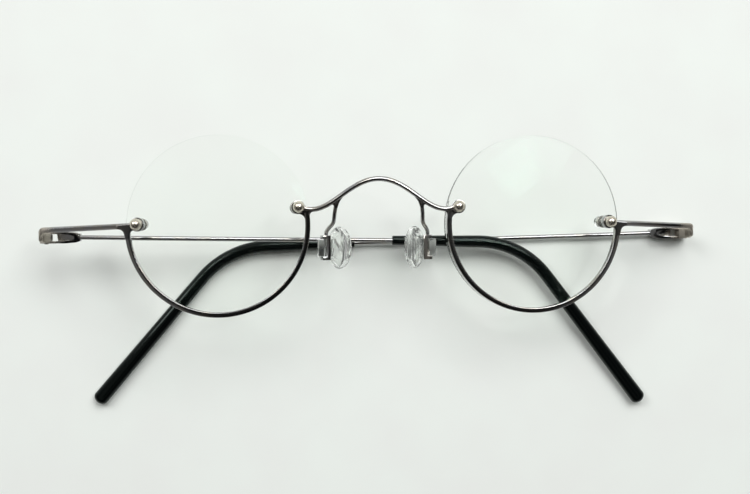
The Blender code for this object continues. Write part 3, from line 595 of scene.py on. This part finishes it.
def piece(name: str, shape: BMesh, finish: Finish, body: str, *stands_for: str) -> Object:
    """Turns a shape in the front's millimetres into a finished piece of the glasses.

    Args:
        name: the piece's name.
        shape: the shape, which is let go.
        finish: its finish.
        body: the body that it rides on.
        stands_for: the nodes that it takes the place of.

    Returns:
        The piece.
    """
    shape.transform(Matrix.Scale(MM, 4) @ FRONT_FRAME)
    item = loose_object(name, shape)
    item.data.materials.append(finish.material())
    item.data.shade_smooth()
    item.data.set_sharp_from_angle(angle=SHARP_EDGE)
    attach(item, body)
    if stands_for:
        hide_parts(*stands_for)
    LOG.info("piece %s: %d faces", name, len(item.data.polygons))
    return item


def node_shape(node: str) -> BMesh:
    """Copies a node's mesh and joins its split edges again.

    Args:
        node: the node's name.

    Returns:
        The copy, in the front's millimetres.
    """
    shape = bmesh.new()
    shape.from_mesh(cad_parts[node].data)
    shape.transform(FRONT_FRAME.inverted() @ Matrix.Scale(1 / MM, 4))
    bmesh.ops.remove_doubles(shape, verts=shape.verts, dist=WELD)
    return shape


def remade(way: str, node: str, shape: BMesh, finish: Finish, body: str = "front") -> Object:
    """Puts a piece, named for the way it was made, in the place of a node."""
    return piece(f"{way}_{node}", shape, finish, body, node)


def ease_node(node: str, width: float, finish: Finish, body: str = "front", segments: int = 2) -> None:
    """Puts a copy with rounded edges in the place of a node.

    Args:
        node: the node's name.
        width: how far in the rounding starts, in millimetres.
        finish: the copy's finish.
        body: the body that it rides on.
        segments: flats across the rounding.
    """
    shape = node_shape(node)
    bmesh.ops.dissolve_limit(shape, angle_limit=FLAT, verts=shape.verts, edges=shape.edges)
    item = loose_object("eased", shape)
    modifier = item.modifiers.new("ease", "BEVEL")
    modifier.width = width
    modifier.segments = segments
    modifier.limit_method = "ANGLE"
    modifier.angle_limit = EASED_EDGE
    remade("eased", node, evaluated(item), finish, body)


# Sub-assemblies


@dataclass
class Lenses:
    """The two lenses and the studs that clamp the wires to them."""

    diameter: float = 35.6
    spacing: float = 62.5
    thickness: float = 2.0
    front_curve: float = 110.0
    back_curve: float = 150.0
    edge_bevel: float = 0.15
    face_rings: int = 12
    wrap: float = math.radians(1.5)
    hole_diameter: float = 1.5
    hole_depth: float = 6.0
    # How far each stud stands from the lens's edge, and how high as an angle.
    studs: dict[StudSpot, Span] = field(default_factory=lambda: {
        StudSpot.OUTER: (2.55, math.radians(1.3)), StudSpot.NOSE: (2.15, math.radians(12.9))})
    washer_diameter: float = 2.5
    washer_places: int = 16  # round a back washer's edge, where the lens's back is looked for
    front_washer: float = 0.25
    back_washer: float = 0.35
    nut_thickness: float = 0.9
    cap_grip: float = 0.7
    ball_diameter: float = 2.3
    ball_rise: float = 0.75
    ball_steps: int = 24
    screw_diameter: float = 1.2
    screw_chamfer: float = 0.15
    loop_thickness: float = 1.0
    washer_easing: dict[str, float] = field(default_factory=lambda: {
        "front_washer": 0.05, "back_washer": 0.07, "cap": 0.1})
    nut_easing: float = 0.08

    @property
    def radius(self) -> float:
        """Half the lens diameter."""
        return self.diameter / 2

    @property
    def loop_base(self) -> float:
        """Height of a loop's underside over the lens."""
        return 2 * SEAM + self.front_washer

    def front_height(self, radius: float) -> float:
        """Height of the front face at a radius."""
        return math.sqrt(self.front_curve ** 2 - radius ** 2) - self.front_curve

    def back_height(self, radius: float) -> float:
        """Height of the back face at a radius."""
        return math.sqrt(self.back_curve ** 2 - radius ** 2) - self.back_curve - self.thickness

    def place(self, side: Side) -> Matrix:
        """Where a lens stands in the front's frame."""
        return (Matrix.Translation((side.value * self.spacing / 2, 0, 0))
                @ Matrix.Rotation(side.value * self.wrap, 4, "Y"))

    def stud_in_lens(self, side: Side, spot: StudSpot) -> Matrix:
        """Places a stud in its lens.

        Args:
            side: the wearer's side.
            spot: the outer or the nose stud.

        Returns:
            Its frame: origin on the front face, Z along the face's normal.
        """
        inset, angle = self.studs[spot]
        reach = self.radius - inset
        x = (1 if spot is StudSpot.OUTER else -1) * side.value * reach * math.cos(angle)
        foot = Vector((x, reach * math.sin(angle), 0))
        foot.z = self.front_height(foot.length)
        normal = (foot + Vector((0, 0, self.front_curve))).normalized()
        return Matrix.Translation(foot) @ Z_AXIS.rotation_difference(normal).to_matrix().to_4x4()

    def stud(self, side: Side, spot: StudSpot) -> Matrix:
        """A stud's frame in the front's frame."""
        return self.place(side) @ self.stud_in_lens(side, spot)

    def loop_centre(self, side: Side, spot: StudSpot) -> Vector:
        """The middle of the loop that a stud clamps."""
        return self.stud(side, spot) @ Vector((0, 0, self.loop_base + self.loop_thickness / 2))

    def back_washer_top(self) -> float:
        """Finds where the back washers, whose edges rest on the curved back, start.

        Returns:
            Their height along a stud, below 0.
        """
        depths = []
        for spot in StudSpot:
            place = self.stud_in_lens(Side.LEFT, spot)
            for a, b in circle(self.washer_diameter / 2, self.washer_places):
                edge = place @ Vector((a, b, 0))
                depth = edge.z - self.back_height(math.hypot(edge.x, edge.y))
                depths.append(depth / (place.to_3x3() @ Z_AXIS).z)
        return -max(depths) - SEAM

    def lens_shape(self, side: Side) -> BMesh:
        """Builds a finely cut meniscus disc with its two holes.

        Args:
            side: the wearer's side.

        Returns:
            The lens in its own frame.
        """
        rim = self.radius - self.edge_bevel
        radii = steps(0, rim, self.face_rings)
        profile = [(r, self.front_height(r)) for r in radii]
        profile += [(self.radius, self.front_height(self.radius) - self.edge_bevel),
                    (self.radius, self.back_height(self.radius) + self.edge_bevel)]
        profile += [(r, self.back_height(r)) for r in reversed(radii)]
        lens = turned(profile, LENS_SIDES)
        for spot in StudSpot:
            hole = moved(drill(self.hole_diameter / 2, self.hole_depth), self.stud_in_lens(side, spot))
            lens = combined(lens, hole, "DIFFERENCE")
        return lens

    def ball_screw_shape(self) -> BMesh:
        """Builds a screw under a round ball, down into its cap.

        Returns:
            The screw in its stud's frame.
        """
        radius, seat = self.ball_diameter / 2, self.loop_base + self.loop_thickness + SEAM
        centre, shank = seat + self.ball_rise, self.screw_diameter / 2
        widest = math.acos(-self.ball_rise / radius)
        end = self.back_washer_top() - self.back_washer - self.nut_thickness - 2 * SEAM - self.cap_grip
        profile = [(radius * math.sin(turn), centre + radius * math.cos(turn))
                   for turn in steps(0, widest, self.ball_steps)]
        chamfer = self.screw_chamfer
        profile += [(shank, seat), (shank, end + chamfer), (shank - chamfer, end), (0.0, end)]
        return turned(profile, FINE_SIDES)

    def build(self) -> None:
        """Builds the lenses and studs and dresses them."""
        for side in Side:
            lens = moved(self.lens_shape(side), self.place(side))
            remade("clear", side.word + "_lens", lens, LENS_RESIN)
            for spot in StudSpot:
                prefix = f"{side.word}_{spot.value}_"
                screw = moved(self.ball_screw_shape(), self.stud(side, spot))
                remade("round", prefix + "ball_screw", screw, NICKEL)
                for part, width in self.washer_easing.items():
                    ease_node(prefix + part, width, NYLON)
                ease_node(prefix + "nut", self.nut_easing, STEEL)


@dataclass
class WireFront:
    """Bridge, half rims, end pieces and hinge barrels, with the braze that joins them."""

    lenses: Lenses
    rim_width: float = 1.0
    rim_depth: float = 1.4
    rim_corner: float = 0.16
    rim_steps: int = 110
    bridge_diameter: float = 1.0
    bridge_rise: float = 5.5
    bridge_shoulder: float = 0.3
    bridge_dip: float = 0.45
    bridge_dip_offset: float = 2.6
    bridge_bow: float = 0.6
    bridge_sides: int = 24
    arch_steps: int = 64
    lead_steps: int = 6
    loop_diameter: float = 2.7
    loop_edge: float = 0.14
    edge_corner: float = 0.3  # share of the rounded edge where its two flats meet
    screw_bore: float = 0.65
    bore_depth: float = 4.0
    arm_offset: float = 8.4
    bar_height: float = 1.1
    bar_set: float = 0.2
    bar_fall: float = 1.0
    rim_on_bar: float = 0.12  # share of the bar that the half rim meets
    hinge_reach: float = 18.8
    hinge_depth: float = 9.4
    hinge_drop: float = 2.5
    end_piece_easing: float = 0.09
    barrel_easing: float = 0.06
    # Corners that the braze fills, in X and Y from the middle of the loop beside them, and how deep it is.
    nose_web: Outline = (
        (-2.32, -2.9), (-1.46, -2.9), (-1.36, -2.2), (-1.14, -1.80), (-0.80, -1.52), (-0.40, -1.36),
        (0.0, -1.3), (0.1, -0.5), (-1.2, 0.25), (-3.1, -0.25), (-3.1, -0.86), (-2.70, -0.98), (-2.46, -1.18),
        (-2.36, -1.5))
    outer_web: Outline = (
        (1.50, -2.9), (1.40, -1.8), (1.20, -1.36), (0.9, -1.16), (0.4, -1.2), (0.2, -0.4), (1.4, 0.15),
        (3.9, -0.1), (4.0, -0.90), (3.3, -0.98), (2.90, -1.18), (2.64, -1.55), (2.50, -2.1), (2.40, -2.9))
    arm_web: Outline = (
        (-1.35, 0.75), (-1.3, 0.30), (-0.95, -0.12), (-0.68, -0.55), (-0.46, -1.1), (-0.20, -1.9),
        (0.46, -1.9), (0.48, -1.30), (0.72, -1.12), (0.95, -1.15), (1.0, -0.75), (0.2, 0.15), (-0.6, 0.75))
    loop_web_depth: Span = (-0.42, 0.36)
    arm_web_depth: Span = (-0.40, 0.26)
    braze_grid: float = 0.07
    braze_rounds: int = 7

    def bridge_point(self, x: float) -> Vector:
        """Follows the bridge between its low points.

        Args:
            x: how far from the middle.

        Returns:
            The point on its centre line.
        """
        nose = self.lenses.loop_centre(Side.LEFT, StudSpot.NOSE)
        share = min(abs(x) / (nose.x - self.bridge_dip_offset), 1)
        swing = (self.bridge_rise + self.bridge_dip) / 2
        height = nose.y - self.bridge_dip + swing * (1 + math.cos(math.pi * share))
        height += self.bridge_shoulder / 2 * (1 - math.cos(2 * math.pi * share))
        return Vector((x, height, nose.z + self.bridge_bow * (1 - share ** 2)))

    def hinge_point(self, side: Side) -> Vector:
        """The middle of a hinge's barrel."""
        outer = self.lenses.loop_centre(side, StudSpot.OUTER)
        return Vector((outer.x + side.value * self.hinge_reach, outer.y - self.hinge_drop, -self.hinge_depth))

    def with_loop(self, wire: BMesh, side: Side) -> BMesh:
        """Ends the bridge in the flat ring that a nose stud clamps.

        Args:
            wire: the bridge.
            side: the wearer's side.

        Returns:
            The bridge with its pierced ring.
        """
        base, top = self.lenses.loop_base, self.lenses.loop_base + self.lenses.loop_thickness
        radius, ease = self.loop_diameter / 2, self.loop_edge
        corner = ease * self.edge_corner
        disc = turned([(0, base), (radius - ease, base), (radius - corner, base + corner),
                       (radius, base + ease), (radius, top - ease), (radius - corner, top - corner),
                       (radius - ease, top), (0, top)], FINE_SIDES)
        place = self.lenses.stud(side, StudSpot.NOSE)
        wire = combined(wire, moved(disc, place), "UNION")
        return combined(wire, moved(drill(self.screw_bore, self.bore_depth), place), "DIFFERENCE")

    def rim_shape(self, side: Side) -> BMesh:
        """Builds the ribbon on edge along the lower half of a lens, from bar to bridge.

        Args:
            side: the wearer's side.

        Returns:
            The half rim.
        """
        lenses, radius = self.lenses, self.lenses.radius - self.rim_width / 2
        fall = self.bar_set + (self.bar_fall - self.bar_set) * self.rim_on_bar
        bar = lenses.loop_centre(side, StudSpot.OUTER).y - fall
        bridge = self.bridge_point(lenses.spacing / 2 - radius).y
        outer = math.asin((bar - self.bar_height / 2 - SEAM) / radius)
        nose = math.asin((bridge - self.bridge_diameter / 2 - SEAM) / lenses.radius)
        base = lenses.front_height(lenses.radius - self.rim_width) + SEAM + self.rim_depth / 2
        place = lenses.place(side)
        path = [place @ Vector((side.value * radius * math.cos(angle), radius * math.sin(angle), base))
                for angle in steps(outer, -math.pi - nose, self.rim_steps)]
        outline = rounded_bar(self.rim_width, self.rim_depth, self.rim_corner)
        return swept(path, outline, place.to_3x3() @ Z_AXIS)

    def bridge_shape(self) -> BMesh:
        """Builds the arched wire from nose loop to nose loop.

        Returns:
            The bridge.
        """
        nose = self.lenses.loop_centre(Side.LEFT, StudSpot.NOSE)
        low, bore = nose.x - self.bridge_dip_offset, self.screw_bore
        entry = nose + Vector((-(self.loop_diameter / 2 - bore) / 2 - bore, -self.bridge_dip / 3, 0))
        arch = [self.bridge_point(x) for x in steps(-low, low, self.arch_steps)]
        middle = (arch[-1] + entry) / 2 - Y_AXIS * self.bridge_dip / 6
        lead = smooth_path([arch[-2], arch[-1], middle, entry], self.lead_steps)[self.lead_steps + 1:]
        other = [Vector((-point.x, point.y, point.z)) for point in reversed(lead)]
        wire = swept(other + arch + lead, circle(self.bridge_diameter / 2, self.bridge_sides), Z_AXIS)
        for side in Side:
            wire = self.with_loop(wire, side)
        return wire

    def braze(self, name: str, middle: Vector, web: Outline, depth: Span, side: Side) -> None:
        """Fills the corners of a joint with a soft lump, as braze flows between wires.

        Args:
            name: the joint's name.
            middle: the joint's point on the wearer's left.
            web: outline of the filled corners, in X and Y from that point.
            depth: from which depth to which height the web reaches.
            side: the wearer's side.
        """
        rings = [[middle + Vector((a, b, height)) for a, b in web] for height in depth]
        item = loose_object("braze", loft(rings))
        melt = item.modifiers.new("melt", "REMESH")
        melt.mode = "VOXEL"
        melt.voxel_size = self.braze_grid
        melt.use_smooth_shade = True
        item.modifiers.new("ease", "SMOOTH").iterations = self.braze_rounds
        piece(f"brazed_{side.word}_{name}_joint", mirrored(evaluated(item), side), GUNMETAL, "front")

    def build(self) -> None:
        """Builds the wires and their brazed joints and dresses them."""
        remade("drawn", "bridge", self.bridge_shape(), GUNMETAL)
        nose, outer = (self.lenses.loop_centre(Side.LEFT, spot) for spot in (StudSpot.NOSE, StudSpot.OUTER))
        for side in Side:
            remade("drawn", side.word + "_half_rim", self.rim_shape(side), GUNMETAL)
            ease_node(side.word + "_end_piece", self.end_piece_easing, GUNMETAL, segments=3)
            ease_node(side.word + "_hinge_barrel", self.barrel_easing, GUNMETAL)
            self.braze("nose", nose, self.nose_web, self.loop_web_depth, side)
            self.braze("outer", outer, self.outer_web, self.loop_web_depth, side)
            self.braze("arm", self.bridge_point(self.arm_offset), self.arm_web, self.arm_web_depth, side)


@dataclass
class NosePads:
    """Pad arms, boxes, cores and cushions."""

    front: WireFront
    arm_diameter: float = 0.8
    arm_sides: int = 20
    arm_steps: int = 10
    # Shares of the way from the bridge to the box, along X, Y and Z.
    arm_route: tuple[Triple, ...] = (
        (0.03, 0.14, 0.03), (0.16, 0.38, 0.14), (0.28, 0.64, 0.42), (0.74, 0.80, 0.78), (0.97, 0.90, 0.97))
    box_offset: float = 9.5
    box_fall: float = 4.5
    box_depth_behind: float = 3.5
    box_height: float = 4.9
    box_side_length: float = 0.86
    box_turn: float = math.radians(15)
    box_easing: float = 0.07
    arm_on_box: float = 0.8  # share of the box's side where the arm stands
    core_easing: float = 0.06
    core_gap: float = 0.045
    pad_height: float = 8.4
    pad_width: float = 6.6
    pad_thickness: float = 2.6
    pad_sides: int = 64
    edge_steps: int = 40
    fullness: float = 0.75  # power of the round edge's sine: below 1 is fuller than an ellipse
    face_cut: float = 0.25
    face_shares: tuple[float, ...] = (0.92, 0.84, 0.76, 0.66, 0.5, 0.3, 0.15)
    groove_share: float = 0.84  # of the way from the face's middle to its edge
    groove_width: float = 0.06
    groove_depth: float = 0.07
    splay: float = math.radians(37)
    inset: float = 1.95

    def box_place(self) -> Matrix:
        """The left pad box's frame in the front's frame: X outward through the box, Y up."""
        corner = (self.box_offset, -self.box_fall, -self.box_depth_behind)
        return Matrix.Translation(corner) @ Matrix.Rotation(-self.box_turn, 4, "Y")

    def pad_place(self) -> Matrix:
        """Places the left cushion.

        Returns:
            Its frame in the front's frame: X along the width, Y up, Z to the nose.
        """
        centre = (self.box_offset - self.inset, -self.box_fall, -self.box_depth_behind)
        to_nose = Vector((-math.cos(self.splay), 0, -math.sin(self.splay)))
        turn = Matrix((Y_AXIS.cross(to_nose), Y_AXIS, to_nose)).transposed().to_4x4()
        return Matrix.Translation(centre) @ turn

    def arm_shape(self, side: Side) -> BMesh:
        """Builds the thin wire from the bridge down and back to a pad box.

        Args:
            side: the wearer's side.

        Returns:
            The pad arm.
        """
        start = self.front.bridge_point(self.front.arm_offset)
        stand = Vector((self.box_side_length * self.arm_on_box, self.box_height / 2 + SEAM, 0))
        foot = self.box_place() @ stand
        way = foot - Y_AXIS * SEAM - start
        route = [start + Vector((way.x * x, way.y * y, way.z * z)) for x, y, z in self.arm_route]
        path = smooth_path([start, *route, foot], self.arm_steps)
        return mirrored(swept(path, circle(self.arm_diameter / 2, self.arm_sides), Z_AXIS), side)

    def cushion_shape(self, side: Side) -> BMesh:
        """Builds a soft oval cushion with a full round edge, a grooved face and a pocket for its core.

        Args:
            side: the wearer's side.

        Returns:
            The cushion.
        """
        half_x, half_y, half_z = self.pad_width / 2, self.pad_height / 2, self.pad_thickness / 2
        face_turn = math.acos(self.face_cut / half_z - 1)
        rings = [[Vector((0, 0, -half_z))]]
        for turn in steps(0, face_turn, self.edge_steps)[1:]:
            swell = math.sin(turn) ** self.fullness
            height = -half_z * math.cos(turn)
            outline = ellipse(half_x * swell, half_y * swell, self.pad_sides)
            rings.append([Vector((a, b, height)) for a, b in outline])
        edge = rings[-1]
        for share in self.face_shares:
            groove = self.groove_depth * math.exp(-((share - self.groove_share) / self.groove_width) ** 2)
            rings.append([Vector((p.x * share, p.y * share, p.z - groove)) for p in edge])
        rings.append([Vector((0, 0, edge[0].z))])
        cushion = moved(loft(rings), self.pad_place())
        pocket = mirrored(node_shape(side.word + "_pad_core"), side)
        bmesh.ops.recalc_face_normals(pocket, faces=pocket.faces)
        pocket.normal_update()
        for vertex in pocket.verts:
            vertex.co += vertex.normal * self.core_gap
        return mirrored(combined(cushion, pocket, "DIFFERENCE"), side)

    def build(self) -> None:
        """Builds the arms, boxes, cores and cushions and dresses them."""
        for side in Side:
            prefix, body = side.word + "_pad_", side.word + "_pad"
            remade("drawn", prefix + "arm", self.arm_shape(side), GUNMETAL)
            ease_node(prefix + "box", self.box_easing, GUNMETAL)
            ease_node(prefix + "core", self.core_easing, POLYCARBONATE, body)
            cushion = remade("soft", prefix + "cushion", self.cushion_shape(side), SILICONE, body)


@dataclass
class Temple:
    """One folded temple: fork, hinge screw, wire and tip. Its own frame has X along the wearer's right
    temple from the hinge axis, and the left one is its mirror image."""

    side: Side
    front: WireFront
    droop: float  # down from the fork, in radians as all angles
    turn: float  # round the ear
    slope: float  # of the folded temple to the front
    fork_length: float = 6.7
    fork_easing: float = 0.12
    screw_easing: float = 0.04
    wire_diameter: float = 0.9
    wire_sides: int = 20
    wire_steps: int = 120
    wire_in_fork: float = 0.96
    bend_distance: float = 87.4
    bend_radius: float = 18.2
    tip_reach: float = 33.9
    tip_start: float = 69.2
    tip_mouth: float = 1.9
    tip_diameter: float = 2.5
    tip_end: float = 3.1
    tip_steps: int = 90
    bore_gap: float = 0.05
    bore_steps: int = 60
    mouth_roll: float = 0.2
    roll_steps: int = 5
    dome_steps: int = 9
    wire_end_cover: float = 4.0

    @property
    def bend_end(self) -> float:
        """Where the bend ends along the centre line."""
        return self.bend_distance + self.bend_radius * self.turn

    @property
    def length(self) -> float:
        """Length of the centre line."""
        return self.bend_end + self.tip_reach

    def point(self, length: float) -> tuple[Vector, Vector]:
        """Follows the centre line.

        Args:
            length: how far from the hinge axis.

        Returns:
            The place and the heading there.
        """
        if length <= self.fork_length:
            return X_AXIS * length, X_AXIS
        heading = self.droop + min(max(length - self.bend_distance, 0) / self.bend_radius, self.turn)
        run = min(length, self.bend_distance) - self.fork_length
        place = X_AXIS * self.fork_length + falling(self.droop) * run
        place.x += self.bend_radius * (math.sin(heading) - math.sin(self.droop))
        place.y -= self.bend_radius * (math.cos(self.droop) - math.cos(heading))
        return place + falling(heading) * max(length - self.bend_end, 0), falling(heading)

    def ring(self, length: float, half_width: float, half_depth: float,
             sides: int = BORE_SIDES) -> list[Vector]:
        """A ring round the centre line."""
        return ring_at(*self.point(length), Z_AXIS, ellipse(half_width, half_depth, sides))

    def wire_shape(self) -> BMesh:
        """Builds the round wire from the fork's socket to inside the tip.

        Returns:
            The wire.
        """
        start, stop = self.fork_length - self.wire_in_fork, self.length - self.wire_end_cover
        radius = self.wire_diameter / 2
        return loft([self.ring(length, radius, radius, self.wire_sides)
                     for length in steps(start, stop, self.wire_steps)])

    def half_width(self, length: float) -> float:
        """Widens the sleeve from its mouth to the bend, and from there to its end.

        Args:
            length: how far from the hinge axis.

        Returns:
            Half its width there.
        """
        mouth, body, end = self.tip_mouth / 2, self.tip_diameter / 2, self.tip_end / 2
        if length < self.bend_distance:
            return mouth + (body - mouth) * (length - self.tip_start) / (self.bend_distance - self.tip_start)
        return body + (end - body) * max(length - self.bend_end, 0) / self.tip_reach

    def tip_shape(self) -> BMesh:
        """Builds the sleeve over the temple's end, with a rolled mouth and a round end.

        Returns:
            The sleeve, bored for the wire.
        """
        bore, bore_end = self.wire_diameter / 2 + self.bore_gap, self.length - self.wire_end_cover + SEAM
        rings = [[self.point(bore_end)[0]]]
        rings += [self.ring(length, bore, bore)
                  for length in steps(bore_end, self.tip_start, self.bore_steps)]
        for turn in steps(0, math.pi / 2, self.roll_steps)[1:]:
            radius = self.tip_mouth / 2 - self.mouth_roll * (1 - math.sin(turn))
            rings.append(self.ring(self.tip_start + self.mouth_roll * (1 - math.cos(turn)), radius, radius))
        body, dome = self.tip_diameter / 2, self.tip_end / 2
        stop = self.length - body
        for length in steps(self.tip_start + self.mouth_roll, stop, self.tip_steps)[1:]:
            width = self.half_width(length)
            rings.append(self.ring(length, width, min(width, body)))
        for turn in steps(0, math.pi / 2, self.dome_steps)[1:-1]:
            length = stop + body * math.sin(turn)
            rings.append(self.ring(length, dome * math.cos(turn), body * math.cos(turn)))
        return loft([*rings, [self.point(self.length)[0]]])

    def build(self) -> None:
        """Builds the temple and dresses it."""
        word, body = self.side.word, self.side.word + "_temple"
        slope = Matrix.Rotation(-self.side.value * self.slope, 4, "Y")
        place = Matrix.Translation(self.front.hinge_point(self.side)) @ slope
        for way, part, shape, finish in (("drawn", "_wire", self.wire_shape(), GUNMETAL),
                                         ("buffed", "_tip", self.tip_shape(), ACETATE)):
            shape = moved(mirrored(shape, Side(-self.side.value)), place)
            remade(way, body + part, shape, finish, body)
        ease_node(body + "_fork", self.fork_easing, GUNMETAL, body, 3)
        ease_node(word + "_hinge_screw", self.screw_easing, STEEL, body)


# Studio


@dataclass(frozen=True)
class Lamp:
    """A rectangular lamp that faces the glasses, in metres."""

    name: str
    towards: Triple  # direction from the glasses to it
    distance: float
    size: Span
    share: float  # of a white card's full brightness, where the card faces it
    colour: str = "#ffffff"

    def hang(self) -> None:
        """Puts the lamp into the scene."""
        data = bpy.data.lights.new(self.name, "AREA")
        data.shape = "RECTANGLE"
        data.size, data.size_y = self.size
        data.color = linear(self.colour)[:3]
        data.energy = self.share * math.pi * math.pi * self.distance ** 2
        lamp = in_scene(data)
        way = Vector(self.towards).normalized()
        lamp.location = way * self.distance
        lamp.rotation_mode = "QUATERNION"
        lamp.rotation_quaternion = way.to_track_quat("Z", "Y")


@dataclass
class Studio:
    """A pale floor, soft light from above the brow side, and the camera."""

    floor_size: float = 3.0
    camera_place: Triple = (-0.008951, 0.010755, 0.220216)
    camera_turn: Triple = (-1.3766, -2.4505, -0.3604)
    camera_lens: float = 50.275
    camera_reach: Span = (0.005, 20.0)
    lamps: tuple[Lamp, ...] = (
        Lamp("soft_box", (0.26, 0.56, 0.79), 0.9, (0.70, 0.46), 0.66),
        Lamp("left_fill", (-0.55, 0.45, 0.7), 0.9, (0.38, 0.38), 0.33),
        Lamp("window", (0.344, 0.205, 0.916), 0.6, (0.06, 0.10), 0.07, "#fafffc"))
    # Heights and distances in the room are components of the direction to a place in it, up to 1.
    pale: str = "#ffffff"
    wall_over: Span = (0.25, 0.5)  # towards the brow side
    low_over: Span = (0.22, 0.42)  # height where the pale band all round ends
    low_share: float = 0.6
    dark: str = "#2c2b2a"
    ceiling: str = "#9c9b99"
    ceiling_over: Span = (0.72, 0.86)  # height where the ceiling starts
    holder: str = "#080808"
    holder_middle: Span = (0.17, -0.12)
    holder_size: Span = (0.27, 0.36)
    holder_edge: Span = (0.85, 1.1)
    sky_strength: float = 0.6

    def floor(self) -> None:
        """Lays the floor."""
        shape = bmesh.new()
        bmesh.ops.create_grid(shape, x_segments=1, y_segments=1, size=self.floor_size / 2)
        floor = loose_object("floor", shape)
        floor.data.materials.append(CARD.material())

    def sky(self) -> None:
        """Makes the room: a wall, pale at the brow side and low all round and dark above, a grey ceiling,
        and the dark of the camera's holder overhead."""
        world = bpy.data.worlds.new("studio")
        bpy.context.scene.world = world
        world.use_nodes = True
        tree = world.node_tree
        tree.nodes.clear()
        place = add_node(tree, "TexCoord").outputs["Generated"]
        way = add_node(tree, "SeparateXYZ", links={"Vector": place}).outputs
        wall = add_node(tree, "MapRange", between(*self.wall_over), {"Value": way["Y"]})
        low = add_node(tree, "MapRange", between(*self.low_over, self.low_share, 0.0), {"Value": way["Z"]})
        light = add_node(tree, "Math", {"operation": "MAXIMUM"}, {0: wall, 1: low})
        overhead = blended(tree, way["Z"], (self.dark, self.ceiling), self.ceiling_over)
        room = add_node(tree, "Mix", {"data_type": "RGBA", HIGH: linear(self.pale)},
                        {SHARE: light, LOW: overhead})
        middle, size = (*self.holder_middle, 0.0), (*self.holder_size, NO_LIMIT)
        aside = add_node(tree, "VectorMath", {"operation": "SUBTRACT", 1: middle}, {0: place})
        share = add_node(tree, "VectorMath", {"operation": "DIVIDE", 1: size}, {0: aside})
        reach = add_node(tree, "VectorMath", {"operation": "LENGTH"}, {0: share})
        edge = add_node(tree, "MapRange", between(*self.holder_edge), {"Value": reach})
        tint = add_node(tree, "Mix", {"data_type": "RGBA", LOW: linear(self.holder)},
                        {SHARE: edge, HIGH: room})
        back = add_node(tree, "Background", {"Strength": self.sky_strength}, {"Color": tint})
        add_node(tree, "OutputWorld", links={"Surface": back})

    def camera(self) -> None:
        """Sets the camera where the photograph was taken from."""
        data = bpy.data.cameras.new("camera")
        data.sensor_width = 36.0
        data.lens = self.camera_lens
        data.clip_start, data.clip_end = self.camera_reach
        camera = in_scene(data)
        camera.location = self.camera_place
        camera.rotation_euler = Euler([math.radians(turn) for turn in self.camera_turn])
        bpy.context.scene.camera = camera

    def build(self) -> None:
        """Sets up floor, light and camera."""
        bpy.context.scene.view_settings.view_transform = "Standard"
        self.camera()
        self.floor()
        self.sky()
        for lamp in self.lamps:
            lamp.hang()


def main() -> None:
    """Builds everything in order."""
    logging.basicConfig(level=logging.INFO, format="%(message)s")
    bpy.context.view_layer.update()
    lenses = Lenses()
    front = WireFront(lenses)
    temples = [Temple(side, front, math.radians(droop), math.radians(turn), math.radians(slope))
               for side, droop, turn, slope in ((Side.LEFT, 1.5, 48.1, 3.7), (Side.RIGHT, 1.0, 51.7, 0.2))]
    for assembly in (Studio(), lenses, front, NosePads(front), *temples):
        assembly.build()
    bpy.context.view_layer.update()


if __name__ == "__main__":
    main()
